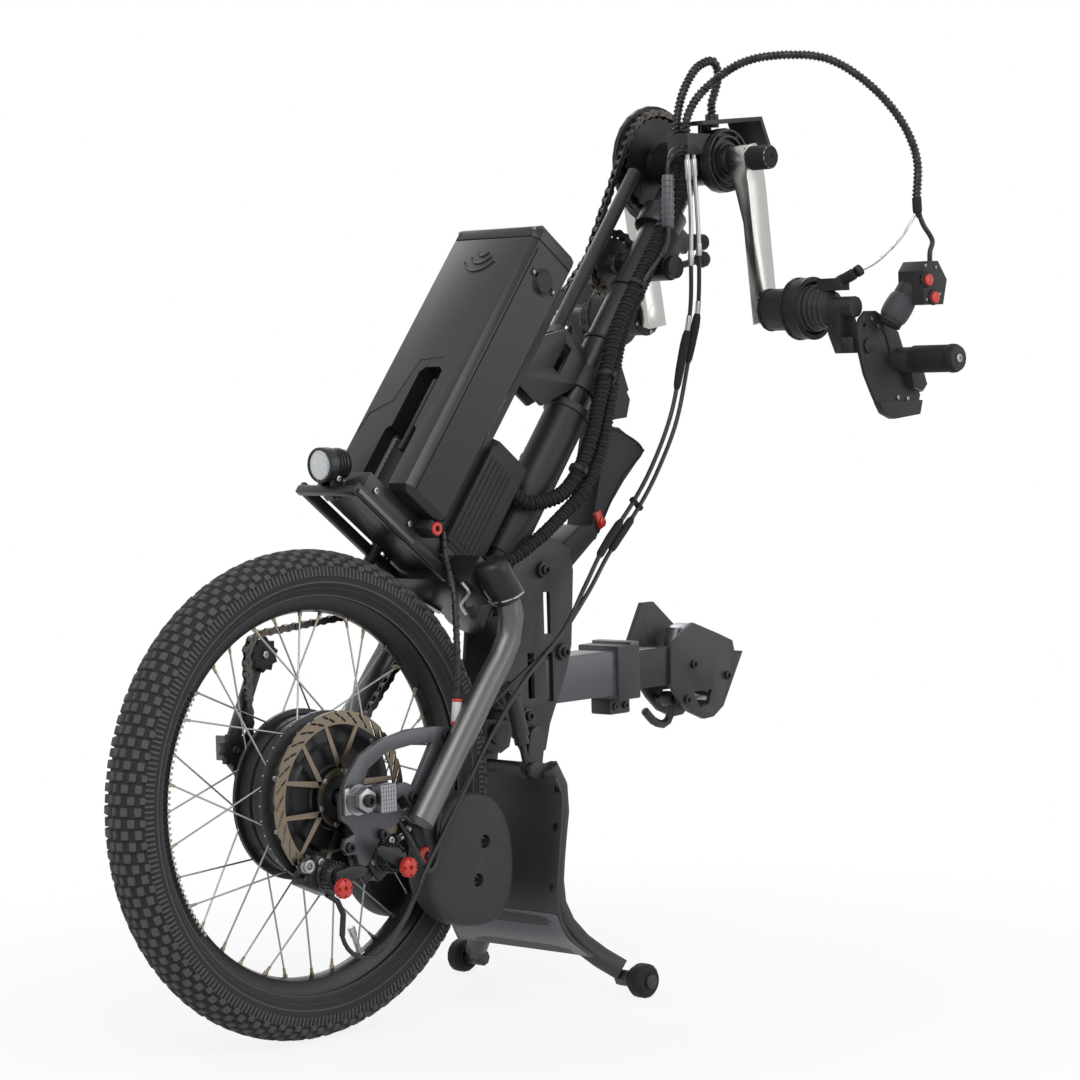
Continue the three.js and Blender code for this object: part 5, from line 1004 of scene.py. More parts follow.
class HANDCYCLE_OT_hands(bpy.types.Operator):
    """Adds the rings, boots, pads, clamps and guards of the grips and handles"""

    bl_idname = "handcycle.hands"
    bl_label = "Grip details"

    def execute(self, context):
        for side, name in SIDES:
            place = GRIP @ Matrix.Scale(side * -1, 4, (0, 1, 0))
            shell = [washer(23.6, 24.7, y, y + 1.3, 56) for y in (-97.5, -129, -133)]
            shell += [washer(34.6, 35.9, y, y + 2, 64) for y in (-140, -160)]
            shell += [lathe([(r, y), (r + 1.6, y - 1.4), (r + 1.6, y - 2.6), (r, y - 4)], 48)
                      for r, y in ((26.4, -156), (24.8, -162), (23.2, -168), (21.6, -174), (20, -180))]
            self.hand(shell, place, f"grip_rings_{name}", f"{name}_grip", "anodised_black", "black_alloy")
            screws = [bolt_head((21 * math.sin(a), -94.4, 21 * math.cos(a)), (0, 1, 0), 2.4, 1.6)
                      for a in (0.3, 1.6, 2.9, 4.2, 5.4)]
            self.hand(screws, place, f"grip_screws_{name}", f"{name}_grip", "zinc_steel", "steel")
            sleeve = lathe([(14.4, -248), (15.6, -249), (15.6, -301), (14.4, -303), (0, -303), (0, -309.6),
                            (12, -309.6), (16, -306), (16.4, -303.4), (16.4, -300), (15.2, -298),
                            (14.2, -298), (14.2, -248)], 40)
            self.hand([shifted(sleeve, 69, 0, -61)], place, f"bar_rubber_{name}", f"{name}_handle", "epdm",
                      "black_rubber")
            bolts = [bolt_head((69, -309.6, -61), (0, -1, 0), 5, 2)]
            bolts += [bolt_head((x, -226.2, z), (0, -1, 0), 2.6, 1.8)
                      for x, z in ((20, -14), (64, -104), (82, -106))]
            self.hand(bolts, place, f"handle_bolts_{name}", f"{name}_handle", "zinc_steel", "steel")
            liner = plate([(73, -54), (93, -57), (107, -92), (99, -99), (84, -95), (78, -70)], (-236, -229),
                          1.5)
            self.hand([liner], place, f"guard_liner_{name}", f"{name}_handle", "anodised_grey", "grey_alloy")
            foot, top = Vector((36, -238, -20)), Vector((60, -251, 20))
            way = (top - foot).normalized()
            wrap = tube([foot + way * s for s in (6, 9, 16, 24, 32, 35)], 16.4, 28,
                        radii=[14.2, 15.6, 16.4, 16.4, 15.6, 14.2])
            self.hand([wrap], place, f"stick_wrap_{name}", f"{name}_handle", "stick_rubber", "black_rubber")
        gland = [rod((8, -222, 42), (2.6, -219.4, 38.4), 6.6, 20, 0.8),
                 rod((0, -196, 28), (0.7, -203.5, 31.3), 7, 20, 0.8)]
        foot, top = Vector((0, -196, 28)), Vector((2, -219, 38))
        gland += [rod(foot.lerp(top, s), foot.lerp(top, s + 0.05), 6.6, 20)
                  for s in (0.35, 0.47, 0.59, 0.71, 0.83)]
        finished(gland, "adjuster_barrel", "left_grip", "nylon", GRIP)
        panel = [bolt_head((60.5 + x, -278, 17.8 + z), (0, -1, 0), 1.8, 1)
                 for x, z in ((-7, 26), (12, 24), (18, -6), (-6, -12))]
        finished(panel, "switch_screws", "left_handle", "zinc_steel", GRIP)
        collar = [(6.8, -280), (8.6, -280), (9, -279), (9, -277.6), (6.8, -277.6)]
        collars = [shifted(lathe(collar, 28), x, 0, z) for x, z in ((66, 8), (55, 27.6))]
        finished(collars, "button_collars", "left_handle", "nylon", GRIP)
        return {"FINISHED"}

    def hand(self, pieces, place, name, body, material, slot):
        """Finishes shapes at one hand's place, their faces turned out again where it mirrors them."""
        piece = joined(*pieces)
        put(piece, place @ piece.matrix_world)
        edit_all(piece)
        close_outward()
        finished(piece, name, body, material, HERE)


class HANDCYCLE_OT_cables(bpy.types.Operator):
    """Builds the ribbed harness, the brake cables, the wrapped arch and the small leads"""

    bl_idname = "handcycle.cables"
    bl_label = "Cables"

    # How much of a brake cable above its boot is bright, and the wrap's turns to its pitch
    silver_share = 0.62
    wrap_share = 0.55

    def execute(self, context):
        sizes = context.scene.handcycle_cables
        rib, wrap, width = sizes.rib_pitch / MM, sizes.wrap_pitch / MM, sizes.brake_width / MM / 2
        main = [(-36.7, -33, 382.6), (-26.8, -33, 370), (-18, -33, 335), (-20, -33, 290), (-20, -33, 230),
                (-18, -34, 150), (-2, -40, 70), (14, -41, 14), (14, -44, -36), (2, -44, -68), (-18, -30, -90),
                (-33, -26, -92), (-43.5, -26, -92)]
        lower = [(-30, -20, 376), (-12, -20, 350), (-4, -21, 300), (-3, -22, 230), (0, -26, 150),
                 (16, -40, 70), (31, -44, 14), (30, -49, -36), (12, -53, -88), (-4, -52, -130),
                 (-22, -46, -168), (-42, -37, -186)]
        for points, name, radius in ((main, "harness_conduit", 7.4), (lower, "motor_conduit", 6.4)):
            core = tube(points, radius, 16, steps=120)
            ribs = coil(points, radius + 0.2, 1.5, rib, 6)
            nodes = ("wiring_harness",) if points is main else ()
            finished(joined(core, ribs), name, "steering", "epdm", COLUMN, nodes, 60)
        ties = []
        for a, b in (((-20, -33, 292), (-20, -33, 287)), ((-20, -33, 212), (-20, -33, 207)),
                     ((-8, -38, 96), (-6, -39, 91)), ((-3, -21, 268), (-3, -21, 263)),
                     ((14, -43, -20), (14, -43, -26))):
            ties.append(rod(a, b, 10.4, 24, 0.6))
            ties.append(block((b[0] - 3, b[1] - 13, b[2] - 1), (b[0] + 3, b[1] - 9, b[2] + 6), 1))
        finished(ties, "harness_ties", "steering", "nylon", COLUMN)
        rear = [(-40.6, -47, 379.6), (-33.2, -47, 370.1), (0, -50, 328), (31.4, -50, 289), (74, -40, 246),
                (98, -32, 205), (126, -32, 125), (129, -36, 54), (123, -40, 4), (109, -44, -66),
                (73.4, -78.5, -148.5), (64.2, -77, -212.3), (28.1, -79.5, -296.2), (18, -64, -350),
                (7, -61.5, -420), (4, -61.5, -470), (3.7, -61.5, -492.8)]
        front = [(-49.2, -47, 372.8), (-41.8, -47, 363.3), (-10, -50, 322), (20.4, -50, 280.4),
                 (62, -42, 236), (87, -34, 195), (114, -32, 125), (118, -36, 54), (112, -40, 4),
                 (98, -44, -66), (67.5, -76.7, -142), (67, -77.3, -194.6), (38.9, -84.5, -285.5),
                 (38, -77, -350), (36, -78, -420), (36, -78, -515), (42, -74, -580), (33.1, -68, -623.9),
                 (8, -64, -636), (-14, -62, -628), (-25.4, -61.5, -608.8)]
        lines, joints, boots = [], [], []
        for points in (rear, front):
            lines.append(tube(points, width, 12, steps=150))
            path = [Vector(p) for p in smooth_path(points, 200)]
            high, low = (38, 94) if points is rear else (35, 79)
            bare = int(high * self.silver_share)
            for a, b, radius in ((1, 5, 3.6), (bare - 2, bare + 1, 3.4), (high - 3, high, 3.2)):
                joints.append(rod(path[a], path[b], radius, 16, 0.4))
            joints.append(tube([path[k] for k in range(0, bare, 2)], width + 0.15, 12))
            boots.append(tube([path[high + k] for k in (0, 1, 3, 8, 11, 12)], 5, 16,
                              radii=[3.2, 4.6, 5.2, 5.2, 4.4, 3]))
            boots.append(tube([path[low + k] for k in (0, 1, 5, 10, 11)], 5, 16, radii=[3, 4.6, 4.8, 4.6, 3]))
        lines.append(tube([(-14, -62, -628), (-25.4, -61.5, -608.8), (-40, -61.5, -602),
                           (-57.2, -62, -604.1)], 3.1, 12))
        last, before = Vector(rear[-1]), Vector(rear[-2])
        joints += [rod(last.lerp(before, s), last.lerp(before, s + 0.06), 3.6, 16, 0.4) for s in (0.08, 0.16)]
        finished(lines, "brake_cable_housings", "steering", "cable_pvc", COLUMN,
                 ("brake_cables",), 60)
        finished(joints, "brake_cable_ferrules", "steering", "cable_silver", COLUMN)
        clip = [rod((119, -40, 4), (127, -40, 4), 3.6, 16, 0.5),
                rod((108, -40, 4), (116, -40, 4), 3.6, 16, 0.5), block((111, -41.2, 3), (124, -38.8, 5), 0.6)]
        finished(joined(*boots, *clip), "brake_cable_boots", "steering", "epdm", COLUMN,
                 smooth=50)
        rise = [(-53, -42, 30.3), (-53, -42, 42), (-47, -47, 62), (-31, -60, 85), (-21, -105, 108),
                (4, -150, 113)]
        drop = Vector((GRIP_PIN[0] - CRANK_AXIS[0], 0, GRIP_PIN[1] - CRANK_AXIS[1]))
        fall = [Vector(p) + drop for p in ((7.6, -185, 279.3), (34.6, -220, 249.3), (64, -243, 205),
                                           (75.6, -253, 164.3), (66.6, -258, 118.3))]
        arch = rise + [tuple(p) for p in fall]
        wrapped = joined(tube(arch, 4.2, 14, steps=90), coil(arch, 4.3, 1.35, wrap * self.wrap_share, 6))
        start, end = CRANK @ metres(arch[3]), CRANK @ metres(arch[-2])
        finished(wrapped, "cable_arch_wrap", ("steering", "crankset", start, end), "cable_pvc",
                 CRANK, ("cable_arch",), 60)
        loop = [(-53, -28, 30.3), (-53, -28, 44), (-43, -30, 78), (-20, -34, 108), (2, -38, 114),
                (10, -38, 98), (6, -35, 78), (4, -32, 66), (4, -32, 54.4)]
        looped = joined(tube(loop, 4.2, 14, steps=60), coil(loop, 4.3, 1.35, wrap * self.wrap_share, 6))
        finished(looped, "cable_loop_wrap", "steering", "cable_pvc", CRANK, ("cable_loop",),
                 60)
        fork = (65.6, -259.4, 107)
        crotch = joined(rod((66.6, -258, 121), fork, 5.4, 20, 0.8), ball(fork, 5.4, (1, 1, 1.2)))
        stems = tube([(66.6, -258, 121), (66.5, -258.1, 117.5), fork, (66, -262, 99)], 3.4, 12, steps=10)
        a, b = GRIP @ metres((66.6, -258, 121)), GRIP @ metres((66, -261, 99))
        finished(joined(crotch, stems), "lead_splitter", ("crankset", "left_grip", a, b), "epdm",
                 GRIP, ("cable_leads",), 60)
        upper = tube([(65.6, -259.4, 107), (70, -264, 90), (82, -267, 72), (76, -268, 60), (75, -268, 49)],
                     2.9, 12, steps=40)
        a, b = GRIP @ metres((66, -260, 100)), GRIP @ metres((78, -268, 62))
        finished(upper, "switch_lead", ("left_grip", "left_handle", a, b), "cable_pvc", GRIP,
                 smooth=60)
        thin = tube([(65.6, -259.4, 107), (57, -255, 92), (42, -251, 74), (18, -237, 50), (9, -228, 43),
                     (4, -221.6, 40)], 1.8, 10, steps=50)
        finished(thin, "brake_lever_lead", "left_grip", "cable_silver", GRIP, smooth=60)
        motor = [(62, -70, -24), (78, -74, -52), (96, -74, -80), (108, -72, -88), (120, -70, -78),
                 (123, -70, -63), (121, -74, -30), (132, -80, 20), (150, -78, 64)]
        finished(tube(motor, 3.6, 12, steps=60), "motor_lead", "steering", "cable_pvc", WHEEL,
                 smooth=60)
        sleeve = [rod((150.2, -75, 64.5), (152.6, -75, 86.5), 5.2, 24, 0.6)]
        finished(sleeve, "lead_sleeve", "steering", "sleeve_white", WHEEL)
        ends = [rod((149.9, -75, 61.5), (150.3, -75, 65.5), 5.6, 24, 0.6),
                rod((152.5, -75, 85.5), (152.9, -75, 89), 5.6, 24, 0.6)]
        finished(ends, "lead_sleeve_ends", "steering", "red_gloss", WHEEL)
        risen = [(152.9, -75, 88), (155, -75, 110), (158, -72, 150), (166, -62, 200), (176, -40, 240),
                 (180, -34, 262)]
        risen = joined(tube(risen, 3.4, 12, steps=50), coil(risen, 3.4, 0.9, wrap, 6))
        finished(risen, "fork_lead", "steering", "cable_pvc", WHEEL, smooth=60)
        return {"FINISHED"}


# Half-inch chain pitch in millimetres, and the pulleys' X and Z from the axle
LINK_PITCH = 12.7
JOCKEYS = ((-14, 145), (-58, 50))


class HANDCYCLE_OT_chains(bpy.types.Operator):
    """Lays the two chains link by link and adds the derailleur's screws"""

    bl_idname = "handcycle.chains"
    bl_label = "Chains"

    def execute(self, context):
        x, z = from_column(0, 258)
        middle = (x - AXLE[0], z - AXLE[1], 36.3, 1)
        ring = (CRANK_AXIS[0] - AXLE[0], CRANK_AXIS[1] - AXLE[1], 61.3, 1)
        lower = [(0, 0, 47.3, 1), middle, (104, 191, 15.3, -1), (-14, 145, 22.3, 1), (-58, 50, 22.3, -1)]
        for wheels, name, y, node in ((lower, "chain_lower_links", 41.4, "chain_lower"),
                                      ([middle, ring], "chain_upper_links", 48.5, "chain_upper")):
            line = [Vector((px, 0, pz)) for px, pz in self.belt(wheels)]
            finished(self.links(line, y), name, "steering", "chain_steel", WHEEL, (node,), 40)
        pins = [bolt_head((px, 49, pz), (0, 1, 0), 4, 3) for px, pz in JOCKEYS]
        pins += [bolt_head((px, 37.9, pz), (0, -1, 0), 4, 2) for px, pz in JOCKEYS]
        finished(pins, "jockey_screws", "steering", "zinc_steel", WHEEL)
        return {"FINISHED"}

    def belt(self, wheels):
        """The closed line of a chain round wheels given as X, Z, radius and sense."""
        legs = []
        for (ax, az, ar, asense), (bx, bz, br, bsense) in zip(wheels, wheels[1:] + wheels[:1]):
            lean = math.asin((bsense * br - asense * ar) / math.hypot(bx - ax, bz - az))
            heading = math.atan2(bz - az, bx - ax) - lean
            left = (-math.sin(heading), math.cos(heading))
            legs.append(((ax - asense * ar * left[0], az - asense * ar * left[1]),
                         (bx - bsense * br * left[0], bz - bsense * br * left[1])))
        line = []
        for k, (cx, cz, radius, sense) in enumerate(wheels):
            arrive, depart = legs[k - 1][1], legs[k][0]
            start = math.atan2(arrive[1] - cz, arrive[0] - cx)
            sweep = math.atan2(depart[1] - cz, depart[0] - cx) - start
            sweep = sweep % TURN if sense > 0 else -((-sweep) % TURN)
            steps = max(2, int(abs(sweep) * radius / 3))
            angles = [start + sweep * s / steps for s in range(steps + 1)]
            line += [(cx + radius * math.cos(a), cz + radius * math.sin(a)) for a in angles]
        return line

    def links(self, line, y):
        """Inner and outer links of half-inch pitch along a closed line."""
        closed = line + line[:1]
        runs = [0.0]
        for p, q in zip(closed, closed[1:]):
            runs.append(runs[-1] + (q - p).length)
        number = 2 * round(runs[-1] / (2 * LINK_PITCH))
        spots, at = [], 0
        for k in range(number):
            goal = runs[-1] * k / number
            while runs[at + 1] < goal:
                at += 1
            share = (goal - runs[at]) / max(runs[at + 1] - runs[at], 1e-9)
            spots.append(closed[at].lerp(closed[at + 1], share))
        shape = [(-3.6, 0), (-2.2, 3.6), (1.6, 4), (6.35, 2.6), (11.1, 4), (14.9, 3.6), (16.3, 0),
                 (14.9, -3.6), (11.1, -4), (6.35, -2.6), (1.6, -4), (-2.2, -3.6)]
        copies = []
        for wide, at in ((3.0, 0), (2.0, 1)):
            link = [plate(shape, (side * wide, side * (wide + 0.9))) for side in (-1, 1)]
            link.append(rod((0, -2.9, 0), (0, 2.9, 0), 3.9, 10))
            if at == 0:
                link += [rod((x, -4.6, 0), (x, 4.6, 0), 1.7, 8) for x in (0, LINK_PITCH)]
            link = joined(*link)
            matrices = []
            for k in range(at, number, 2):
                way = spots[(k + 1) % number] - spots[k]
                spot = Matrix.Translation((spots[k] + Vector((0, y, 0))) * MM)
                matrices.append(spot @ spun(-math.atan2(way.z, way.x)))
            copies.append(repeated(link, matrices))
        return joined(*copies)


class HANDCYCLE_OT_bodywork(bpy.types.Operator):
    """Adds the details of the frame, the dock, the stand, the rear cover and the fork, and the ballast"""

    bl_idname = "handcycle.bodywork"
    bl_label = "Frame, dock and stand details"

    # How far the side edges of a sheet roll back, and the radii along a shoulder of the fork
    edge_roll = 3.5
    shoulder = [13, 16, 18, 19] + [19.4] * 18 + [19, 18, 16.5]

    def execute(self, context):
        bolts = [bolt_head((x, side * 34.3, z), (0, side, 0), 5.6, 4.5) for side in (-1, 1)
                 for x, z in ((134, 373.3), (74, 308), (106, 466), (62, 424))]
        finished(bolts, "frame_bolts", "frame", "anodised_black")
        tab = [block((-6, -24, -9), (5, -19, 12), 2), rod((0, -26, -2), (0, -20, -2), 5, 20, 0.8)]
        finished(tab, "cover_red_tab", "frame", "red_gloss",
                 moved(PART, 212, 0, 514) @ spun(math.radians(-24)))
        seams = [tube([(231, s * 20.2, 616), (252, s * 20.2, 612), (288, s * 20.2, 590), (254, s * 20.2, 562),
                       (228, s * 20.2, 528), (210, s * 20.2, 500)], 0.9, 8, steps=60) for s in (-1, 1)]
        flap = tube([(226, y, 596) for y in (-20, -10, 0, 10, 20)], 1.1, 8, steps=10)
        finished(joined(*seams, flap), "cover_ribs", "frame", "epdm")
        wrap = block((225.4, -30.8, 310.2), (262.6, 30.8, 371.8), 2)
        cut(wrap, block((220, -29.2, 311.8), (270, 29.2, 370.2)))
        lug = block((227, -15, 293), (261, 15, 311), 2)
        collar = [bolt_head((x, -15, 302), (0, -1, 0), 4, 3) for x in (235, 252)]
        finished(joined(wrap, lug, *collar), "collar_shell", "frame", "powder_coat")
        finished(block((263, -17, 361.5), (306, 17, 362.95), 0.1), "inner_tube_strip", "dock_slide",
                 "cable_silver")
        beads = [tube([(104, s * 25.2, 316.5), (106, s * 26.4, 330), (104, s * 25.2, 366)], 2, 8, steps=30)
                 for s in (-1, 1)]
        finished(beads, "dock_weld_beads", "frame", "anodised_grey")
        rollers = [rod((402, -24, 299), (402, 24, 299), 8, 28, 0.8),
                   coil([(402, -20, 299), (402, 20, 299)], 8.6, 1.3, 3.2)]
        finished(rollers, "dock_roller_and_spring", "dock_slide", "zinc_steel")
        pins = [bolt_head((x, s * 27, z), (0, s, 0), 5, 3.6) for x, z in ((417, 322), (358, 340), (345, 300))
                for s in (-1, 1)]
        finished(pins, "dock_pins", "dock_slide", "anodised_black")
        run = [(70, 244, 80), (73, 226, 86), (66, 175, 88), (60, 125, 88), (62, 96, 88), (74, 70, 92),
               (96, 47, 104)]
        sheet = self.sheet(run, 2.6)
        finished(sheet, "stand_sheet", "stand", "powder_coat", PART, ("stand_plate",))
        # The lower bend of the stand sheet gets a lighter grey face: a painted sheen where the bent sheet
        # catches light.
        apron = self.sheet([(60.6, 96, 84), (72.6, 70, 88), (94.4, 47.6, 99)], 1)
        finished(apron, "stand_apron_face", "stand", "painted_apron_sheen")
        feet = [bolt_head((x, s * 78, z), (-1, 0, 0), 5, 4) for s in (-1, 1)
                for x, z in ((72, 232), (68.4, 190), (60.4, 124))]
        finished(feet, "stand_bolts", "stand", "anodised_black")
        for side, name in SIDES:
            hub = [lathe([(r, side * 127.9), (r + 1.4, side * 127.4), (r + 1.4, side * 126.6),
                          (r, side * 126.6)], 40) for r in (8, 13)]
            hub = joined(*hub, lathe([(0, side * 151.6), (6, side * 151.6), (7, side * 150.6),
                                      (7, side * 148), (0, side * 148)], 32))
            finished(hub, f"caster_hub_{name}", f"{name}_caster", "nylon",
                     moved(PART, 133, 0, 18.8))
        top, foot = Vector((34, -47, 343)), Vector((56, -47, 252))
        way = (foot - top).normalized()
        bands = [rod(top + way * 8, top + way * 54, 9.4, 28, 1.2),
                 rod(top + way * 48, top + way * 55, 10, 28, 0.8)]
        finished(bands, "strut_sleeve", "strut_outer", "powder_coat")
        shoulders, trims = [], []
        for s in (-1, 1):
            path = [(-78, s * 86.5, -206), (-70, s * 87, -213), (-58, s * 87, -218), (-44, s * 87, -221),
                    (-34, s * 87, -226)]
            shoulders.append(tube(path, 19, 28, steps=24, radii=self.shoulder))
            trims += [coil([(-40, s * 87, -222), (-37, s * 87, -224)], 19.6, 1.2, 3.4, 8),
                      tube([(-84, s * 66, -238), (-70, s * 66, -240), (-40, s * 30, -238),
                            (-20, s * 20, -237)], 2.2, 10, steps=24)]
        finished(shoulders, "crown_shoulders", "steering", "anodised_black", COLUMN, smooth=50)
        finished(trims, "crown_trim", "steering", "cable_silver", COLUMN, smooth=50)
        outline = [(109, 170), (116, 202), (136, 230), (160, 240), (190, 239), (218, 227), (234, 204),
                   (241, 174), (240, 140), (230, 112), (210, 97), (180, 96), (148, 104), (122, 126),
                   (111, 148)]
        middle = Vector((176, 0, 168))
        ring = smooth_path([(x, 0, z) for x, z in outline * 2], 120)[30:92]
        ring = [p + (middle - p) * 0.004 for p in ring]
        screw_spots = ((196, 186), (184, 146))
        for side, name in SIDES:
            slab = plate([(p.x, p.z) for p in ring], sorted((side * 33, side * 67.5)), 8, 4)
            for x, z in screw_spots:
                cut(slab, rod((x, side * 60, z), (x, side * 72, z), 7.4, 28))
            tongue = plate([(104, 212), (108, 196), (116, 184), (130, 180), (136, 228), (112, 222)],
                           sorted((side * 52, side * 67)), 1.5)
            finished(joined(slab, tongue), f"ballast_slab_{name}", "steering", "ballast_enamel",
                     UNDER_WHEEL, (f"ballast_{name}",), 50)
            heads = [bolt_head((x, side * 60, z), (0, side, 0), 5.4, 4.4) for x, z in screw_spots]
            finished(heads, f"ballast_screws_{name}", "steering", "anodised_black",
                     UNDER_WHEEL)
        knob = [rod((10.7, -20, 92.8), (10.7, -36, 92.8), 5.4, 24, 0.8),
                rod((10.7, -34, 92.8), (10.7, -42, 92.8), 7.4, 24, 1)]
        collars = [put(washer(19.2, 21.4, y, y + 3, 48), moved(HERE, 0, 0, z) @ spun(math.radians(90), "X"))
                   for y, z in ((0, 140), (6, 210))]
        finished(joined(*knob, *collars), "column_fittings", "steering", "nylon", COLUMN)
        return {"FINISHED"}

    def sheet(self, run, thick):
        """A bent sheet through rows of X, Z and half width, with rolled side edges."""
        rows = smooth_path([(x, half, z) for x, z, half in run], 36)
        deselect()
        bpy.ops.mesh.primitive_grid_add(x_subdivisions=len(rows) - 1, y_subdivisions=16)
        piece = bpy.context.object
        for index, vertex in enumerate(piece.data.vertices):
            row, column = index % len(rows), index // len(rows)
            share = column / 8 - 1
            spot = rows[row]
            vertex.co = metres((spot.x - self.edge_roll * abs(share) ** 6, spot.y * share, spot.z))
        apply_modifier(piece, "SOLIDIFY", thickness=thick * MM, offset=0)
        edit_all(piece)
        close_outward()
        return piece


# Carried nodes, in order: finish, width of the rounded edges in millimetres, and names
CARRIED = (
    ("chain_steel", 0.2, "cassette"),
    ("anodised_black", 1.0, "fork_crown"),
    ("fork_paint", 0, "fork_blade_left fork_blade_right"),
    ("anodised_grey", 0.8, "dropout_plate_right"),
    ("anodised_black", 0.5, "column_tube"),
    ("anodised_black", 0.6, "column_clamp"),
    ("powder_coat", 0.5, "column_bracket"),
    ("anodised_black", 0.8, "battery_tray"),
    ("nylon", 1.5, "controller_box"),
    ("anodised_black", 0.5, "headlight"),
    ("anodised_black", 0.7, "crank_housing"),
    ("anodised_black", 0.3, "chainring"),
    ("brushed_alloy", 1.5, "crank_left crank_right"),
    ("chain_steel", 0.2, "middle_sprocket"),
    ("nylon", 0.2, "jockey_tension jockey_guide"),
    ("anodised_grey", 0.4, "derailleur"),
    ("nylon", 0.6, "grip_left grip_right handle_left handle_right"),
    ("red_gloss", 0.4, "button_lower button_upper"),
    ("epdm", 0.8, "clamp_lever"),
    ("nylon", 0.5, "shift_lever"),
    ("powder_coat", 0.5, "head_tube"),
    ("powder_coat", 0.7, "frame_plate_left frame_plate_right"),
    ("nylon", 3.0, "rear_cover"),
    ("anodised_grey", 1.0, "dock_outer_tube"),
    ("powder_coat", 0.7, "dock_head"),
    ("zinc_steel", 0.6, "dock_latch"),
    ("powder_coat", 0.4, "dock_release_lever"),
    ("powder_coat", 0.3, "stand_legs"),
    ("epdm", 0.8, "caster_left caster_right"),
    ("powder_coat", 0.4, "strut_cylinder"),
    ("powder_coat", 0.3, "strut_rod"),
)
BENT_TUBES = ("fork_blade_left", "fork_blade_right", "stand_legs")


class HANDCYCLE_OT_carried(bpy.types.Operator):
    """Rounds the edges of the CAD pieces whose shape is already right"""

    bl_idname = "handcycle.carried"
    bl_label = "Carried-over pieces"

    def execute(self, context):
        for material, bevel, nodes in CARRIED:
            for node in nodes.split():
                dressed(node, material, bevel, 50 if node in BENT_TUBES else 35)
        return {"FINISHED"}


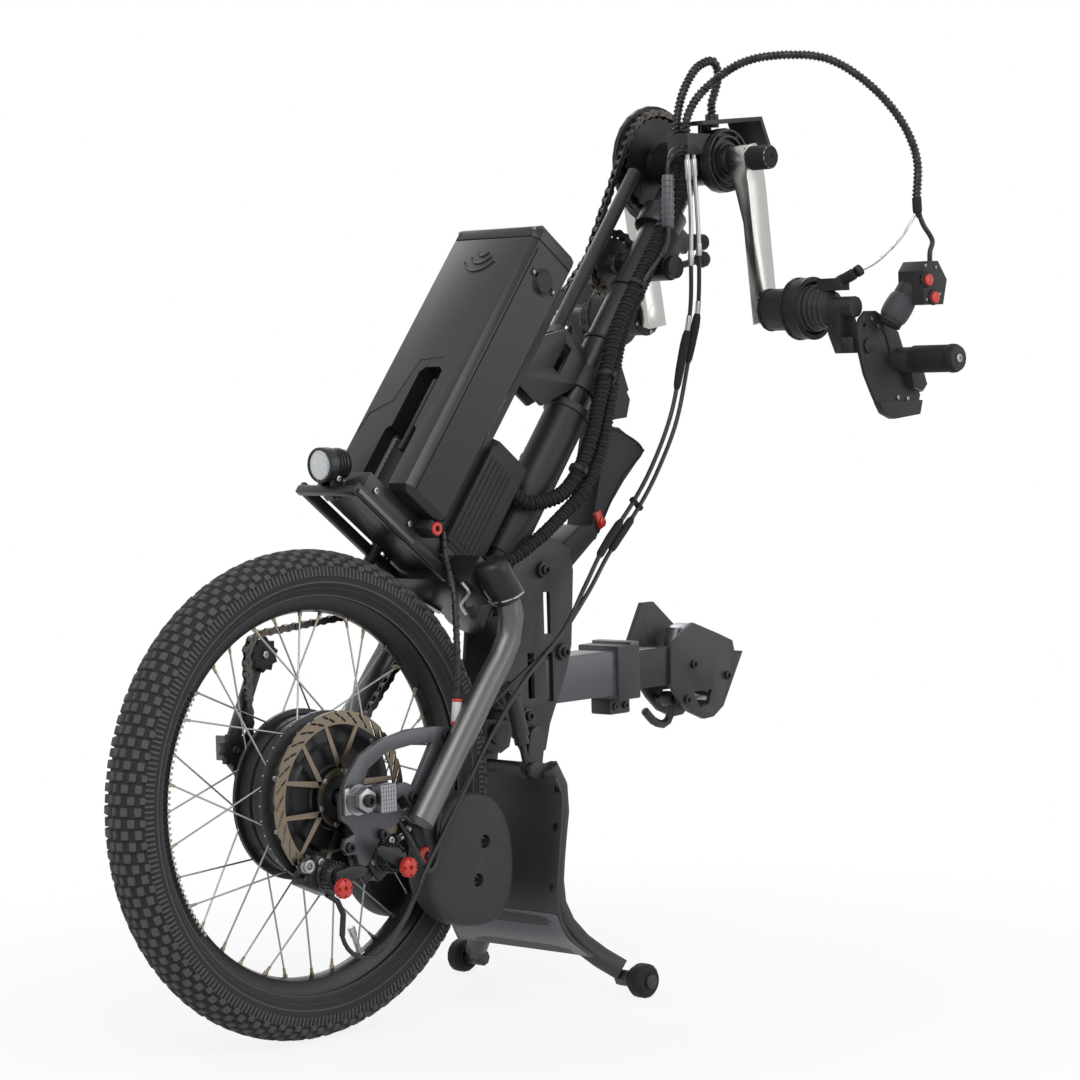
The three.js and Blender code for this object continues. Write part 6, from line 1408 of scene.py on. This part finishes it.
class HANDCYCLE_OT_stage(bpy.types.Operator):
    """Sets the floor, the soft lights and the camera"""

    bl_idname = "handcycle.stage"
    bl_label = "Stage"

    def execute(self, context):
        stage = context.scene.handcycle_stage
        deselect()
        bpy.ops.mesh.primitive_plane_add(size=stage.floor_size)
        floor = bpy.context.object
        floor.name = "studio_floor"
        floor.data.materials.append(self.floor_paper())
        self.light("key_softbox", (-2.6, -2.0, 3.2), 2.2, stage.key_power)
        self.light("fill_softbox", (1.8, -3.2, 1.6), 2.4, stage.fill_power)
        self.light("back_softbox", (1.6, 2.6, 2.6), 2.0, stage.fill_power)
        self.room()
        self.camera(stage.focal_length)
        context.scene.view_settings.view_transform = "Standard"
        return {"FINISHED"}

    def floor_paper(self):
        """White paper that keeps the shadow near the object and fades into the backdrop."""
        material = bpy.data.materials.new("studio_paper")
        material.use_nodes = True
        tree = material.node_tree
        tree.nodes.clear()
        coords = add_node(tree, "ShaderNodeTexCoord")
        reach = add_node(tree, "ShaderNodeVectorMath", {"operation": "LENGTH"}, {0: coords.outputs["Object"]})
        fade = add_node(tree, "ShaderNodeMapRange",
                        {"From Min": SHADE_REACH[0], "From Max": SHADE_REACH[1], "To Min": SHADE_LEVEL,
                         "To Max": 1.0}, {"Value": reach.outputs["Value"]})
        seen = seen_directly(tree)
        part = add_node(tree, "ShaderNodeMath", {"operation": "MULTIPLY"},
                        {0: seen, 1: fade.outputs["Result"]})
        paper = add_node(tree, "ShaderNodeBsdfDiffuse", {"Color": (0.82, 0.82, 0.82, 1)})
        glow = add_node(tree, "ShaderNodeEmission", {"Color": WHITE, "Strength": 1.0})
        mix = add_node(tree, "ShaderNodeMixShader",
                       links={0: part.outputs[0], 1: paper.outputs[0], 2: glow.outputs[0]})
        add_node(tree, "ShaderNodeOutputMaterial", links={"Surface": mix.outputs[0]})
        return material

    def light(self, name, spot, size, power):
        """A square softbox that faces the object."""
        deselect()
        bpy.ops.object.light_add(type="AREA", location=spot)
        lamp = bpy.context.object
        lamp.name = name
        lamp.data.size = size
        lamp.data.energy = power
        lamp.rotation_euler = (Vector(spot) - Vector((0, 0, 0.5))).to_track_quat("Z", "Y").to_euler()

    def room(self):
        """A plain grey room that looks white behind the object."""
        world = bpy.data.worlds.new("studio_room")
        bpy.context.scene.world = world
        world.use_nodes = True
        tree = world.node_tree
        tree.nodes.clear()
        seen = seen_directly(tree)
        shade = add_node(tree, "ShaderNodeMix", {"data_type": "RGBA", 6: ROOM_LIGHT, 7: WHITE}, {0: seen})
        room = add_node(tree, "ShaderNodeBackground", {"Strength": 1.0}, {"Color": shade.outputs[2]})
        add_node(tree, "ShaderNodeOutputWorld", links={"Surface": room.outputs[0]})

    def camera(self, focal_length):
        """The camera at the photograph's angle, with its slight roll."""
        deselect()
        bpy.ops.object.camera_add()
        camera = bpy.context.object
        camera.name = "photo_camera"
        up = CAMERA_UP
        right = (CAMERA_RIGHT - up * CAMERA_RIGHT.dot(up)).normalized()
        turn = Matrix((right, up, right.cross(up))).transposed().to_4x4()
        camera.matrix_world = Matrix.Translation(CAMERA_SPOT) @ turn
        camera.data.lens = focal_length
        camera.data.sensor_width = 36.0
        camera.data.clip_end = 100.0
        bpy.context.scene.camera = camera


class HANDCYCLE_PT_panel(bpy.types.Panel):
    """Lists the steps that build the handcycle"""

    bl_label = "Handcycle"
    bl_idname = "HANDCYCLE_PT_panel"
    bl_space_type = "VIEW_3D"
    bl_region_type = "UI"
    bl_category = "Handcycle"

    def draw(self, context):
        for group in ("handcycle_colours", "handcycle_wheel", "handcycle_cables", "handcycle_stage"):
            box = self.layout.box()
            settings = getattr(context.scene, group)
            for key in settings.__annotations__:
                box.prop(settings, key)
        for operator in OPERATORS:
            self.layout.operator(operator.bl_idname)


GROUPS = {"handcycle_colours": HandcycleColours, "handcycle_wheel": HandcycleWheel,
          "handcycle_cables": HandcycleCables, "handcycle_stage": HandcycleStage}
OPERATORS = (
    HANDCYCLE_OT_finishes,
    HANDCYCLE_OT_tyre,
    HANDCYCLE_OT_rim,
    HANDCYCLE_OT_hub,
    HANDCYCLE_OT_brakes,
    HANDCYCLE_OT_battery,
    HANDCYCLE_OT_lamp,
    HANDCYCLE_OT_cranks,
    HANDCYCLE_OT_hands,
    HANDCYCLE_OT_cables,
    HANDCYCLE_OT_chains,
    HANDCYCLE_OT_bodywork,
    HANDCYCLE_OT_carried,
    HANDCYCLE_OT_stage,
)


def register():
    for name, group in GROUPS.items():
        bpy.utils.register_class(group)
        setattr(bpy.types.Scene, name, bpy.props.PointerProperty(type=group))
    for operator in OPERATORS:
        bpy.utils.register_class(operator)
    bpy.utils.register_class(HANDCYCLE_PT_panel)


def unregister():
    bpy.utils.unregister_class(HANDCYCLE_PT_panel)
    for operator in reversed(OPERATORS):
        bpy.utils.unregister_class(operator)
    for name, group in reversed(GROUPS.items()):
        delattr(bpy.types.Scene, name)
        bpy.utils.unregister_class(group)


def main():
    """Builds every piece in order."""
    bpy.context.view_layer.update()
    register()
    for operator in OPERATORS:
        getattr(bpy.ops.handcycle, operator.bl_idname.split(".")[1])()
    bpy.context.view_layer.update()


if __name__ == "__main__":
    main()
